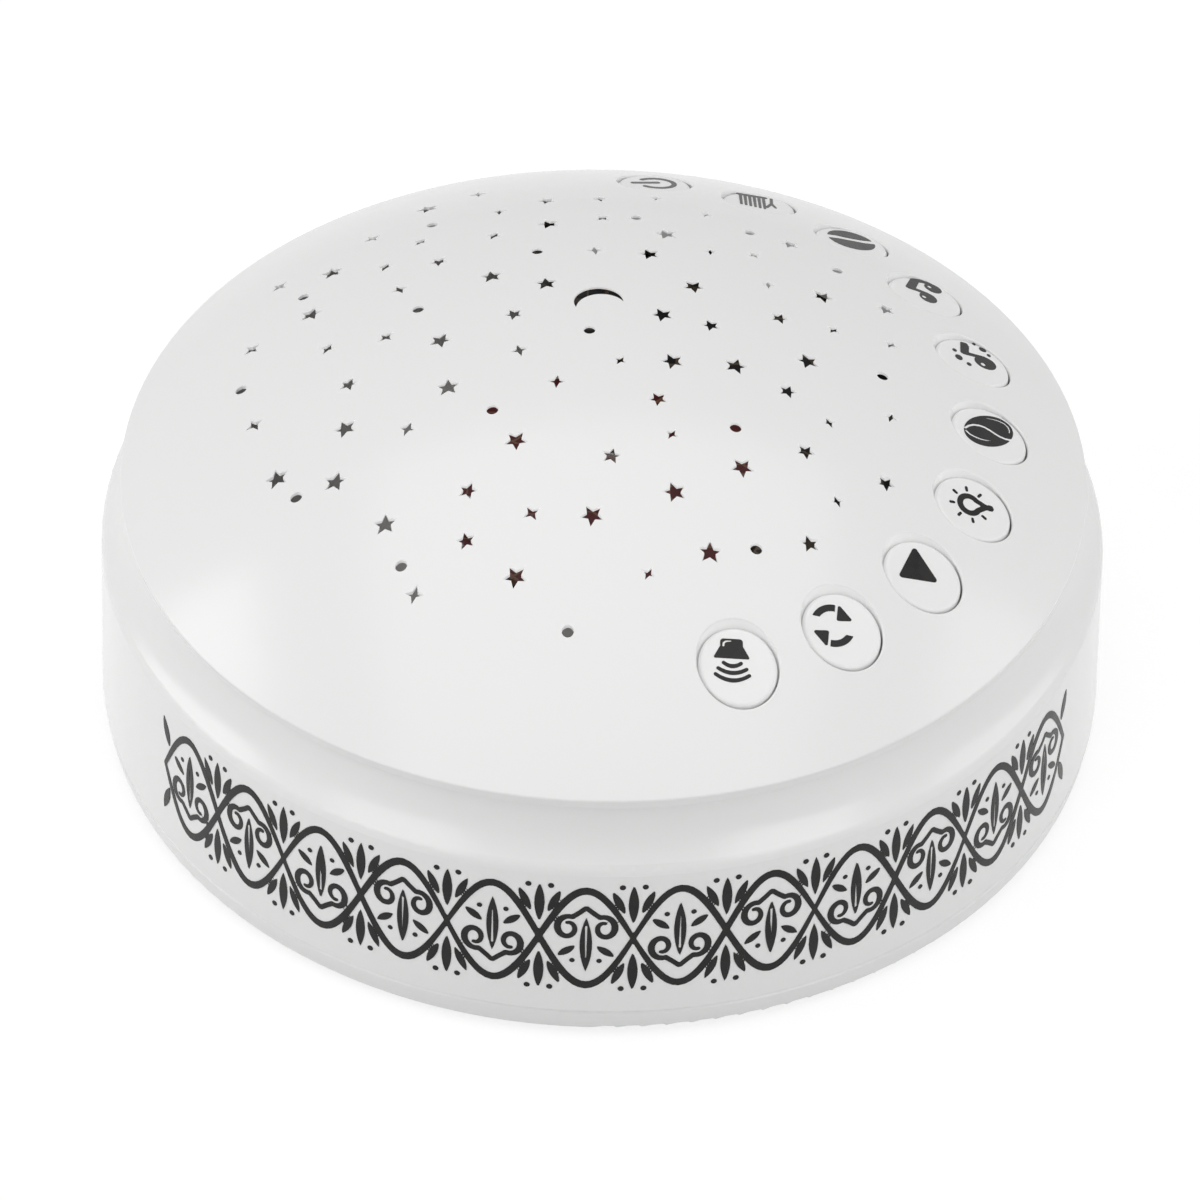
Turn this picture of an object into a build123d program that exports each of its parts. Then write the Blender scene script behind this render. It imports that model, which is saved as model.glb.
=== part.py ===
from build123d import *
import os
from math import asin, cos, radians, sin, sqrt

# Star night light projector, in millimetres.
# +Z is up, -Y is the front and +X is the side with the keys. The origin is on the table,
# under the middle of the casing.

os.makedirs("parts", exist_ok=True)

# ---------------------------------------------------------------------------
# Driving dimensions
# ---------------------------------------------------------------------------

# Casing, from the table up
FOOT_PROUD = 1.0          # the rubber feet hold the base this far off the table
BASE_BAND = 4.0           # height of the base below the seam
WALL_HEIGHT = 27.0        # seam to shoulder
COVE_HEIGHT = 8.7         # shoulder to neck, a hollow curve
LIP_HEIGHT = 1.7          # straight edge of the domed cover
DOME_RISE = 23.8          # rim to crown

# Casing, across
BELLY_RADIUS = 75.0       # widest, at the seam
BASE_INSET = 0.6          # base edge, inside the belly
SHOULDER_INSET = 1.1
RIM_INSET = 4.2
NECK_STEP = 1.0           # the neck stands this far inside the rim above it
LIP_LEAN = 0.45           # the lip draws in this far towards its lower edge
SHOULDER_ROUND = 2.4
BASE_ROUND = 1.0
RIM_ROUND = 0.35
SEAM_CHAMFER = 0.3

# Walls
CROWN_WALL = 0.3          # the dome is thin where light leaves it
RIM_WALL = 0.8
BODY_WALL = 2.2
BASE_WALL = 2.4
TONGUE_WALL = 1.6
TONGUE_HEIGHT = 3.0       # the base's tongue, above the seam
FIT_GAP = 0.3             # between pieces that slip into each other

# Shelf inside the body, which the domed cover and the light tray are screwed to
SHELF_DROP = 3.4          # neck to the top of the shelf
SHELF_THICKNESS = 2.2
SHELF_WIDTH = 6.4
TRAY_THICKNESS = 1.6
TRAY_GAP = 1.0            # tray edge to the body's wall

# Keys
KEY_NAMES = ("sound", "repeat", "play", "lamp", "bean", "chime", "music", "leaf", "lines", "power")
KEY_START = -70.0         # bearing of the first key, from +X
KEY_PITCH = 17.0          # degrees from key to key
KEY_RIM_DISTANCE = 15.0   # key centres to the rim
KEY_DIAMETER = 11.1
KEY_GAP = 0.25
KEY_RECESS = 0.65         # middle of a cap below the dome
KEY_LEAN = 4.5            # the caps slope this many degrees less than the dome does
KEY_TRAVEL = 0.6
KEY_EDGE_ROUND = 0.6
KEY_WALL = 1.3
KEY_STEM_DIAMETER = 4.0
KEY_FLANGE = 1.25         # reaches this far beyond the cap
KEY_FLANGE_THICKNESS = 1.0
KEY_FLANGE_GAP = 0.2
COLLAR_WALL = 1.5
COLLAR_SHOW = 0.6         # the collars end this far below the dome's inside
WELL_ROUND = 0.25

# Key board and its switches
BOARD_THICKNESS = 1.6
BOARD_INNER_RADIUS = 27.0
BOARD_MARGIN = 5.2        # board edge beyond the key centres
BOARD_OVERRUN = 18.0      # degrees of board past the first and last keys
KEY_BOARD_CHIP_RADIUS = 36.0
KEY_BOARD_CHIPS = ((-40.0, 10.0, 6.0), (-8.0, 7.5, 7.5), (24.0, 8.0, 5.0), (70.0, 12.0, 5.0))
CHIP_HEIGHT = 1.4
SWITCH_SIZE = 6.0
SWITCH_HEIGHT = 3.4
PLUNGER_DIAMETER = 3.3
PLUNGER_GAP = 0.3
PLUNGER_REACH = 1.4       # plunger above its housing
PLUNGER_SEAT = 1.4        # plunger inside its housing
PLUNGER_FLOOR_GAP = 0.2   # under a plunger that is pressed home

# Screws and the posts that they go into
SCREW_DIAMETER = 2.5
SCREW_PLAY = 0.1
SCREW_HEAD_DIAMETER = 5.0
SCREW_HEAD_HEIGHT = 1.8
SCREW_LENGTH = 10.0
POST_DIAMETER = 5.6
SMALL_SCREW_DIAMETER = 1.9
SMALL_HEAD_DIAMETER = 3.8
SMALL_HEAD_HEIGHT = 1.4
SMALL_SCREW_LENGTH = 6.0
SMALL_POST_DIAMETER = 5.0
DRIVER_SLOT_LENGTH = 3.0
DRIVER_SLOT_WIDTH = 0.8
DRIVER_SLOT_DEPTH = 1.0
COVER_SCREW_BEARINGS = (-44.5, 40.5, 130.5, 225.5)
KEY_BOARD_SCREW_BEARINGS = (-82.0, -61.5, 6.5, 57.5, 95.0)
KEY_BOARD_SCREW_INSET = 7.8   # inside the ring of key centres
BASE_SCREW_START = 20.0
BASE_SCREW_COUNT = 4
BASE_POST_DIAMETER = 7.0
BASE_POST_HEIGHT = 15.0
BASE_POST_INSET = 8.5         # screw centres to the belly
RIB_THICKNESS = 1.6

# Rubber feet
FOOT_COUNT = 4
FOOT_START = 65.0
FOOT_DIAMETER = 12.0
FOOT_RIM_DISTANCE = 15.0
FOOT_SINK = 0.8
FOOT_CHAMFER = 0.3

# Lamp
LAMP_BOARD_RADIUS = 25.0
LAMP_SCREW_RADIUS = 21.0
LAMP_SCREW_BEARINGS = (90.0, 210.0, 330.0)
LED_SIZE = 5.0
LED_HEIGHT = 1.6
LED_RING_RADIUS = 14.0
LED_RING_COUNT = 6
LAMP_POST_HEIGHT = 6.6
LAMP_BOARD_LIFT = 2.0         # above the tray
LENS_DIAMETER = 11.0
LENS_WALL = 1.0

# Speaker, facing down
SPEAKER_X = -22.0
SPEAKER_Y = -10.0
SPEAKER_RADIUS = 25.0
SPEAKER_FLANGE_THICKNESS = 1.2
SPEAKER_GASKET_THICKNESS = 1.0
SPEAKER_GASKET_WIDTH = 4.6
BASKET_DEPTH = 10.0
BASKET_BACK_RADIUS = 16.0
MAGNET_RADIUS = 14.5
MAGNET_THICKNESS = 7.0
CONE_WALL = 0.6
CONE_SETBACK = 0.2
CONE_HEIGHT = 5.8
SURROUND_WIDTH = 2.5
DUST_CAP_BULGE = 1.8
COIL_RADIUS = 7.0
SPEAKER_RIM_WIDTH = 3.4
BASKET_WALL = 1.2
BASKET_HOLE_RADIUS = 9.0
BASKET_WINDOW_COUNT = 4
BASKET_WINDOW_START = 45.0
BASKET_WINDOW_WIDTH = 16.0
BASKET_WINDOW_EDGE = 2.0
SPEAKER_SCREW_LENGTH = 3.4
SPEAKER_SCREW_BEARINGS = (30.0, 150.0, 270.0)
WASHER_HEAD_DIAMETER = 8.4
WASHER_HEAD_HEIGHT = 1.2
WASHER_BITE = 0.6             # how far the screw heads reach over the speaker's edge
GRILLE_HOLE_DIAMETER = 2.6
GRILLE_PITCH = 4.4
GRILLE_RINGS = 4

# Battery, one round cell lying front to back
CELL_INSET = 37.0             # cell axis to the belly
CELL_DIAMETER = 18.4
CELL_LENGTH = 65.0
CELL_LIFT = 1.0
CELL_CHAMFER = 0.5
CRADLE_SPACING = 44.0
CRADLE_THICKNESS = 3.0
CRADLE_WIDTH = 24.0
STRAP_WIDTH = 10.0
STRAP_THICKNESS = 1.5
STRAP_EAR = 8.0
STRAP_POST_HEIGHT = 6.6

# Power board and the charging socket at the back
POWER_BOARD_WIDTH = 35.0
POWER_BOARD_FRONT = 34.0
POWER_BOARD_LIFT = 5.6        # board above the floor of the base
POWER_BOARD_GAP = 1.2         # board edge to the body's wall
POWER_POST_SPREAD = 26.0
POWER_POST_ROWS = (38.0, 62.0)
POWER_BOARD_CHIPS = (
    # x, y, size along x, size along y, height
    (-8.0, 47.0, 6.5, 6.5, 3.6),
    (7.0, 46.0, 5.0, 4.0, 1.4),
    (8.0, 54.0, 6.0, 5.0, 1.4),
    (-1.0, 52.0, 3.0, 2.0, 1.0),
)
CAPACITORS = ((-9.0, 56.0), (1.0, 44.0))
CAPACITOR_RADIUS = 2.5
CAPACITOR_HEIGHT = 5.4
SOCKET_WIDTH = 9.0
SOCKET_HEIGHT = 3.2
SOCKET_DEPTH = 7.5
SOCKET_WALL = 0.35
SOCKET_TONGUE_WIDTH = 6.6
SOCKET_TONGUE_THICKNESS = 0.7
SOCKET_TONGUE_SETBACK = 1.0
SOCKET_BACK = 0.8
SOCKET_CLEARANCE = 0.3
PLUG_RECESS_WIDTH = 12.6
PLUG_RECESS_HEIGHT = 6.6
PLUG_RECESS_DEPTH = 0.9
SOCKET_SETBACK = 0.4          # socket mouth behind the floor of the recess

# Leads inside the casing
LEAD_DIAMETER = 1.6
LEAD_BEND = 3.0
LEAD_SPREAD = 1.5
LEAD_HOLE_DIAMETER = 8.0      # in the light tray, for the leads that come up
LEAD_HOLE_RADIUS = 32.0
LEAD_HOLE_BEARING = 125.0
SPEAKER_LEAD_RUN = 9.0        # straight out of its plug, and out of the speaker
LAMP_LEAD_RUN = 8.0
LAMP_LEAD_RISE = 8.0          # first turn under the hole, above the plug
LAMP_LEAD_TAIL = (6.0, -10.0)  # along the lamp board, from the hole
KEY_LEAD_RUN = 7.0
KEY_LEAD_RISE = 11.0
KEY_LEAD_TAIL = (12.0, 12.0)
BATTERY_LEAD_RUN = 8.0
BATTERY_LEAD_END = 6.0        # straight out of the cell's end
BATTERY_LEAD_TURNS = (11.0, 18.0)   # from the cell's axis towards the plug
LEAD_PLUG_X = (-7.5, -2.5, 2.5, 7.5)
LEAD_PLUG_Y = 37.0
LEAD_PLUG_WIDTH = 4.2
LEAD_PLUG_DEPTH = 4.5
LEAD_PLUG_HEIGHT = 5.0

# Star field: plan positions in hundredths of the key ring's radius, and the turn of one point in degrees
BIG_STAR_RADIUS = 1.85
SMALL_STAR_RADIUS = 1.52
STAR_WAIST = 0.45             # inner radius of a star, as a share of its outer radius
SPARK_RADIUS = 1.45
SMALL_SPARK_RADIUS = 1.15
SPARK_WAIST = 0.36
DOT_RADIUS = 0.85
MOON_CENTRE = (-2.3, 16.3)
MOON_RADIUS = 3.6
MOON_BITE_RADIUS = 3.7
MOON_BITE_SHIFT = 1.95
MOON_TURN = 13.0

BIG_STARS = (
    (17, -7.2, 43), (14.3, 11.6, 44), (-16.1, 25.1, 25), (33.2, -6.3, 5), (22.4, 26, 63),
    (10.8, 41.2, 39), (-22.4, -35.8, 57), (-30.5, 30.5, 27), (-40.3, -15.2, 20), (-43, 3.6, 64),
    (52, 0.9, 41), (17.9, -51.1, 38), (34.9, -41.2, 59), (15.2, 53.8, 38), (-2.7, -59.1, 48),
    (-16.1, 59.1, 38), (56.5, 32.3, 67), (-66.3, -23.3, 38), (26.9, -67.2, 18),
    (-21.5, -75.3, 46), (-54.7, -56.5, 18), (-68.1, -40.3, 3), (-83.3, -34.1, 30), (-78, 28.7, 2),
    (-73.5, 49.3, 25), (-49.3, 82.4, 38),
)
SMALL_STARS = (
    (13.4, -21.5, 49), (-24.2, 11.6, 45), (26.9, 9, 43), (1.8, -41.2, 7), (46.6, -12.5, 1),
    (44.8, 17, 1), (51.1, -32.3, 62), (-34.1, -50.2, 68), (-34.1, -64.5, 30), (-66.3, -7.2, 68),
    (-44.8, 42.1, 52), (71.7, -35.8, 60), (52, -60, 36), (48.4, 59.1, 38), (73.5, 34.9, 41),
    (-17, 77.1, 44),
)
SPARKS = (
    (-12.5, -16.1, 86), (-22.4, -3.6, 14), (-50.2, -27.8, 70), (-57.3, 9, 41), (-72.6, 9.9, 63),
    (-93.2, 20.6, 38), (-90.5, -12.5, 25), (-54.7, 30.5, 21), (-59.1, 44.8, 72), (-46.6, -77.1, 76),
    (-17.9, -58.2, 30), (-1.8, 62.7, 48), (-2.7, 78, 12), (-3.6, 42.1, 7), (-30.5, 53.8, 69),
    (-50.2, 56.5, 57), (-63.6, 66.3, 32), (-35.8, 89.6, 4), (-87.8, 51.1, 43), (-29.6, 70.8, 0),
)
SMALL_SPARKS = (
    (3.6, -8.1, 60), (11.6, -74.4, 65), (59.1, -45.7, 22), (73.5, -12.5, 78), (57.3, -20.6, 25),
    (17, -33.2, 61), (42.1, 32.3, 3), (26.9, 45.7, 1), (38.5, 47.5, 33), (74.4, 17.9, 66),
    (59.1, 17, 60), (26, 70.8, 75), (12.5, 80.6, 84),
)
DOTS = (
    (-4.5, 3.6), (-28.7, -25.1), (-18.8, 42.1), (-49.3, 18.8), (7.2, 63.6), (-47.5, 67.2),
    (60.9, 49.3), (71.7, 2.7), (33.2, -28.7), (38.5, -64.5), (-80.6, 39.4), (-95, 3.6),
    (-78, -42.1), (-50.2, -69), (-8.1, -89.6), (37.6, 61.8),
)

# ---------------------------------------------------------------------------
# Heights and radii that follow from them
# ---------------------------------------------------------------------------

seam_z = FOOT_PROUD + BASE_BAND
shoulder_z = seam_z + WALL_HEIGHT
neck_z = shoulder_z + COVE_HEIGHT
rim_z = neck_z + LIP_HEIGHT
crown_z = rim_z + DOME_RISE
floor_z = FOOT_PROUD + BASE_WALL

base_radius = BELLY_RADIUS - BASE_INSET
shoulder_radius = BELLY_RADIUS - SHOULDER_INSET
rim_radius = BELLY_RADIUS - RIM_INSET
neck_radius = rim_radius - NECK_STEP
neck_inner_radius = neck_radius - BODY_WALL
tongue_radius = neck_inner_radius - FIT_GAP
tongue_inner_radius = tongue_radius - TONGUE_WALL

dome_radius = (rim_radius**2 + DOME_RISE**2) / (2 * DOME_RISE)


def dome_z(radius):
    """Height of the dome's outer face above a plan radius."""
    return crown_z - dome_radius + sqrt(dome_radius**2 - radius**2)


# The inner face of the dome is an arc from under the crown to the top of the tongue
lining_rim_z = dome_z(tongue_inner_radius) - RIM_WALL
lining_rise = crown_z - CROWN_WALL - lining_rim_z
lining_radius = (tongue_inner_radius**2 + lining_rise**2) / (2 * lining_rise)


def lining_z(radius):
    """Height of the dome's inner face above a plan radius."""
    return crown_z - CROWN_WALL - lining_radius + sqrt(lining_radius**2 - radius**2)


def body_inner_radius(height):
    """Inner face of the body's wall, below the shoulder."""
    share = (height - seam_z) / WALL_HEIGHT
    return BELLY_RADIUS - SHOULDER_INSET * share - BODY_WALL


def at(radius, bearing):
    """Plan position at a radius and a bearing from +X."""
    return (radius * cos(radians(bearing)), radius * sin(radians(bearing)))


shelf_top = neck_z - SHELF_DROP
shelf_bottom = shelf_top - SHELF_THICKNESS
shelf_inner_radius = neck_inner_radius - SHELF_WIDTH
tray_bottom = shelf_bottom - TRAY_THICKNESS
tray_radius = neck_inner_radius + FIT_GAP - TRAY_GAP
tongue_bottom = shelf_top + FIT_GAP
cover_post_radius = tongue_radius - POST_DIAMETER / 2
cover_screw_places = [at(cover_post_radius, bearing) for bearing in COVER_SCREW_BEARINGS]

key_ring = rim_radius - KEY_RIM_DISTANCE
key_bearings = [KEY_START + KEY_PITCH * count for count in range(len(KEY_NAMES))]
key_places = [at(key_ring, bearing) for bearing in key_bearings]
key_radius = KEY_DIAMETER / 2
key_slope = asin(key_ring / dome_radius) - radians(KEY_LEAN)    # radians
key_flange_radius = key_radius + KEY_FLANGE
key_top_z = dome_z(key_ring) - KEY_RECESS
well_radius = key_radius + KEY_GAP
collar_radius = well_radius + COLLAR_WALL
collar_bottom = lining_z(key_ring + collar_radius) - COLLAR_SHOW
key_flange_top = collar_bottom - KEY_FLANGE_GAP
key_bottom = key_flange_top - KEY_FLANGE_THICKNESS

switch_top = key_bottom - PLUNGER_REACH
key_board_top = switch_top - SWITCH_HEIGHT
key_board_bottom = key_board_top - BOARD_THICKNESS
key_board_radius = key_ring + BOARD_MARGIN
key_board_screw_radius = key_ring - KEY_BOARD_SCREW_INSET
key_board_screw_places = [at(key_board_screw_radius, bearing) for bearing in KEY_BOARD_SCREW_BEARINGS]
first_board_bearing = key_bearings[0] - BOARD_OVERRUN
last_board_bearing = key_bearings[-1] + BOARD_OVERRUN

base_screw_radius = BELLY_RADIUS - BASE_POST_INSET
base_screw_bearings = [BASE_SCREW_START + 360 / BASE_SCREW_COUNT * count
                       for count in range(BASE_SCREW_COUNT)]
base_screw_places = [at(base_screw_radius, bearing) for bearing in base_screw_bearings]
foot_radius = BELLY_RADIUS - FOOT_RIM_DISTANCE
foot_top = FOOT_PROUD + FOOT_SINK
base_boss_top = seam_z + FIT_GAP
base_head_top = FOOT_PROUD + SCREW_HEAD_HEIGHT + FIT_GAP

lamp_board_bottom = shelf_bottom + LAMP_BOARD_LIFT
lamp_board_top = lamp_board_bottom + BOARD_THICKNESS
lamp_screw_places = [at(LAMP_SCREW_RADIUS, bearing) for bearing in LAMP_SCREW_BEARINGS]
lead_hole = at(LEAD_HOLE_RADIUS, LEAD_HOLE_BEARING)

cell_x = BELLY_RADIUS - CELL_INSET
cell_z = floor_z + CELL_LIFT + CELL_DIAMETER / 2
power_board_bottom = floor_z + POWER_BOARD_LIFT
power_board_top = power_board_bottom + BOARD_THICKNESS
socket_z = power_board_top + SOCKET_HEIGHT / 2
socket_wall_radius = body_inner_radius(socket_z) + BODY_WALL
socket_mouth_y = socket_wall_radius - PLUG_RECESS_DEPTH - SOCKET_SETBACK

power_posts = [(side * POWER_POST_SPREAD / 2, y) for side in (-1, 1) for y in POWER_POST_ROWS]
strap_posts = [(cell_x + side * (CELL_DIAMETER / 2 + STRAP_THICKNESS + STRAP_EAR / 2), 0)
               for side in (-1, 1)]

gasket_top = floor_z + SPEAKER_GASKET_THICKNESS
speaker_flange_top = gasket_top + SPEAKER_FLANGE_THICKNESS
basket_back_z = speaker_flange_top + BASKET_DEPTH
basket_top = basket_back_z + BASKET_WALL
speaker_tag_z = speaker_flange_top + LEAD_DIAMETER / 2
speaker_post_radius = SPEAKER_RADIUS + WASHER_HEAD_DIAMETER / 2 - WASHER_BITE
speaker_posts = []
for bearing in SPEAKER_SCREW_BEARINGS:
    post_x, post_y = at(speaker_post_radius, bearing)
    speaker_posts.append((SPEAKER_X + post_x, SPEAKER_Y + post_y))


def on_field(x, y):
    """Plan position from hundredths of the key ring's radius."""
    return (x * key_ring / 100, y * key_ring / 100)


def add_screws(places, seat_z, head_diameter, head_height, diameter, shank):
    """Screws with their heads on one side of the seat and their shanks, up or down, on the other."""
    with BuildSketch(Plane.XY.offset(seat_z)) as heads:
        with Locations(*places):
            Circle(head_diameter / 2)
    with BuildSketch(Plane.XY.offset(seat_z)) as shanks:
        with Locations(*places):
            Circle(diameter / 2)
    extrude(heads.sketch, amount=-head_height if shank > 0 else head_height)
    extrude(shanks.sketch, amount=shank)


def star_outline(points, radius, waist):
    """Corners of a star with straight sides, its first point along +X."""
    step = 180 / points
    radii = (radius, radius * waist)
    return [at(radii[corner % 2], corner * step) for corner in range(2 * points)]


# ---------------------------------------------------------------------------
# Domed cover
# ---------------------------------------------------------------------------

# The space under the middle of the dome's wall trims the posts that grow down from it
with BuildPart() as under_dome:
    with BuildSketch(Plane.XZ):
        with BuildLine():
            middle_rim_z = (dome_z(tongue_inner_radius) + lining_rim_z) / 2
            middle_crown_z = crown_z - CROWN_WALL / 2
            half = tongue_inner_radius / 2
            top = ThreePointArc((0, middle_crown_z), (half, (dome_z(half) + lining_z(half)) / 2),
                                (tongue_inner_radius, middle_rim_z))
            Polyline(top @ 1, (tongue_radius, dome_z(tongue_radius) - RIM_WALL / 2), (tongue_radius, 0),
                     (0, 0), top @ 0)
        make_face()
    revolve(axis=Axis.Z)

with BuildPart() as cover_posts:
    with BuildSketch(Plane.XY.offset(collar_bottom)):
        with Locations(*key_places):
            Circle(collar_radius)
    extrude(amount=crown_z - collar_bottom)
    with BuildSketch(Plane.XY.offset(shelf_top)):
        with Locations(*cover_screw_places):
            Circle(POST_DIAMETER / 2)
    extrude(amount=crown_z - shelf_top)
    with BuildSketch(Plane.XY.offset(key_board_top)):
        with Locations(*key_board_screw_places):
            Circle(SMALL_POST_DIAMETER / 2)
    extrude(amount=crown_z - key_board_top)
    add(under_dome.part, mode=Mode.INTERSECT)

with BuildPart() as top_cover:
    with BuildSketch(Plane.XZ) as cover_section:
        with BuildLine():
            outside = ThreePointArc((0, crown_z), (rim_radius / 2, dome_z(rim_radius / 2)),
                                    (rim_radius, rim_z))
            edge = Polyline(outside @ 1, (rim_radius - LIP_LEAN, neck_z), (tongue_radius, neck_z),
                            (tongue_radius, tongue_bottom), (tongue_inner_radius, tongue_bottom),
                            (tongue_inner_radius, lining_rim_z))
            inside = ThreePointArc(edge @ 1, (tongue_inner_radius / 2, lining_z(tongue_inner_radius / 2)),
                                   (0, crown_z - CROWN_WALL))
            Line(inside @ 1, outside @ 0)
        make_face()
        rim_corner = cover_section.vertices().sort_by_distance((rim_radius, rim_z))[0]
        fillet(rim_corner, radius=RIM_ROUND)
    revolve(axis=Axis.Z)

    # Stars, sparks, dots and the crescent, cut straight up as the mould pulls
    with BuildSketch(Plane.XY.offset(crown_z + 1)):
        for x, y, turn in BIG_STARS:
            with Locations(Location((*on_field(x, y), 0), (0, 0, turn))):
                Polygon(*star_outline(5, BIG_STAR_RADIUS, STAR_WAIST))
        for x, y, turn in SMALL_STARS:
            with Locations(Location((*on_field(x, y), 0), (0, 0, turn))):
                Polygon(*star_outline(5, SMALL_STAR_RADIUS, STAR_WAIST))
        for x, y, turn in SPARKS:
            with Locations(Location((*on_field(x, y), 0), (0, 0, turn))):
                Polygon(*star_outline(4, SPARK_RADIUS, SPARK_WAIST))
        for x, y, turn in SMALL_SPARKS:
            with Locations(Location((*on_field(x, y), 0), (0, 0, turn))):
                Polygon(*star_outline(4, SMALL_SPARK_RADIUS, SPARK_WAIST))
        with Locations(*[on_field(x, y) for x, y in DOTS]):
            Circle(DOT_RADIUS)
    extrude(amount=key_board_top - crown_z, mode=Mode.SUBTRACT)
    with BuildSketch(Plane.XY.offset(crown_z + 1)):
        moon_x, moon_y = on_field(*MOON_CENTRE)
        with Locations((moon_x, moon_y)):
            Circle(MOON_RADIUS)
        bite_x, bite_y = at(MOON_BITE_SHIFT, MOON_TURN - 90)
        with Locations((moon_x + bite_x, moon_y + bite_y)):
            Circle(MOON_BITE_RADIUS, mode=Mode.SUBTRACT)
    extrude(amount=key_board_top - crown_z, mode=Mode.SUBTRACT)

    add(cover_posts.part)

    # Key wells through the collars
    with BuildSketch(Plane.XY.offset(collar_bottom)):
        with Locations(*key_places):
            Circle(well_radius)
    extrude(amount=crown_z - collar_bottom, mode=Mode.SUBTRACT)

    # Round the mouths of the wells
    well_walls = top_cover.faces().filter_by(lambda face: face.radius == well_radius)
    fillet([wall.edges().sort_by(Axis.Z)[-1] for wall in well_walls], radius=WELL_ROUND)

    # Screw holes up into the posts
    with BuildSketch(Plane.XY.offset(shelf_top)):
        with Locations(*cover_screw_places):
            Circle(SCREW_DIAMETER / 2 + SCREW_PLAY / 2)
    extrude(amount=SCREW_LENGTH - SHELF_THICKNESS - TRAY_THICKNESS + 1, mode=Mode.SUBTRACT)
    with BuildSketch(Plane.XY.offset(key_board_top)):
        with Locations(*key_board_screw_places):
            Circle(SMALL_SCREW_DIAMETER / 2 + SCREW_PLAY / 2)
    extrude(amount=SMALL_SCREW_LENGTH - BOARD_THICKNESS + 1, mode=Mode.SUBTRACT)
top_cover.part.label = "top_cover"
export_step(top_cover.part, "parts/top_cover.step")

# ---------------------------------------------------------------------------
# Body: neck, cove, shoulder and wall, with the shelf inside
# ---------------------------------------------------------------------------

# The space inside the middle of the wall trims the ribs of the screw posts
with BuildPart() as inside_body:
    with BuildSketch(Plane.XZ):
        with BuildLine():
            half_wall = BODY_WALL / 2
            Polyline((0, seam_z), (BELLY_RADIUS - half_wall, seam_z),
                     (shoulder_radius - half_wall, shoulder_z), (0, shoulder_z), close=True)
        make_face()
    revolve(axis=Axis.Z)

with BuildPart() as base_posts:
    with BuildSketch(Plane.XY.offset(base_boss_top)):
        with Locations(*base_screw_places):
            Circle(BASE_POST_DIAMETER / 2)
    extrude(amount=BASE_POST_HEIGHT)
    rib_bottom = seam_z + TONGUE_HEIGHT + FIT_GAP
    with BuildSketch(Plane.XY.offset(rib_bottom)):
        for bearing in base_screw_bearings:
            with Locations(Location((*at(base_screw_radius, bearing), 0), (0, 0, bearing))):
                Rectangle(BASE_POST_INSET, RIB_THICKNESS, align=(Align.MIN, Align.CENTER))
    extrude(amount=base_boss_top + BASE_POST_HEIGHT - rib_bottom)
    add(inside_body.part, mode=Mode.INTERSECT)

with BuildPart() as body_shell:
    with BuildSketch(Plane.XZ) as body_section:
        with BuildLine():
            wall = Line((BELLY_RADIUS, seam_z), (shoulder_radius, shoulder_z))
            cove = TangentArc((neck_radius, neck_z), (shoulder_radius, shoulder_z), tangent=(0, -1))
            Polyline((neck_radius, neck_z), (neck_inner_radius, neck_z), (neck_inner_radius, shelf_top),
                     (shelf_inner_radius, shelf_top), (shelf_inner_radius, shelf_bottom),
                     (neck_inner_radius + FIT_GAP, shelf_bottom),
                     (shoulder_radius - BODY_WALL, shoulder_z - BODY_WALL),
                     (BELLY_RADIUS - BODY_WALL, seam_z), (BELLY_RADIUS, seam_z))
        make_face()
        shoulder = body_section.vertices().sort_by_distance((shoulder_radius, shoulder_z))[0]
        fillet(shoulder, radius=SHOULDER_ROUND)
        seam_corner = body_section.vertices().sort_by_distance((BELLY_RADIUS, seam_z))[0]
        chamfer(seam_corner, length=SEAM_CHAMFER)
    revolve(axis=Axis.Z)
    add(base_posts.part)

    # Holes for the base screws, from below
    with BuildSketch(Plane.XY.offset(base_boss_top)):
        with Locations(*base_screw_places):
            Circle(SCREW_DIAMETER / 2 + SCREW_PLAY / 2)
    extrude(amount=SCREW_LENGTH, mode=Mode.SUBTRACT)

    # Holes for the cover screws, through the shelf
    with BuildSketch(Plane.XY.offset(shelf_bottom)):
        with Locations(*cover_screw_places):
            Circle(SCREW_DIAMETER / 2 + FIT_GAP)
    extrude(amount=SHELF_THICKNESS, mode=Mode.SUBTRACT)

    # Opening for the charging socket, with a recess round it for the plug
    with BuildSketch(Plane.XZ.offset(-socket_wall_radius + BODY_WALL + 1)):
        with Locations((0, socket_z)):
            SlotOverall(SOCKET_WIDTH + 2 * SOCKET_CLEARANCE, SOCKET_HEIGHT + 2 * SOCKET_CLEARANCE)
    extrude(amount=-BODY_WALL - 2, mode=Mode.SUBTRACT)
    with BuildSketch(Plane.XZ.offset(-socket_wall_radius + PLUG_RECESS_DEPTH)):
        with Locations((0, socket_z)):
            SlotOverall(PLUG_RECESS_WIDTH, PLUG_RECESS_HEIGHT)
    extrude(amount=-PLUG_RECESS_DEPTH - 1, mode=Mode.SUBTRACT)
body_shell.part.label = "body_shell"
export_step(body_shell.part, "parts/body_shell.step")

# ---------------------------------------------------------------------------
# Base
# ---------------------------------------------------------------------------

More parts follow.
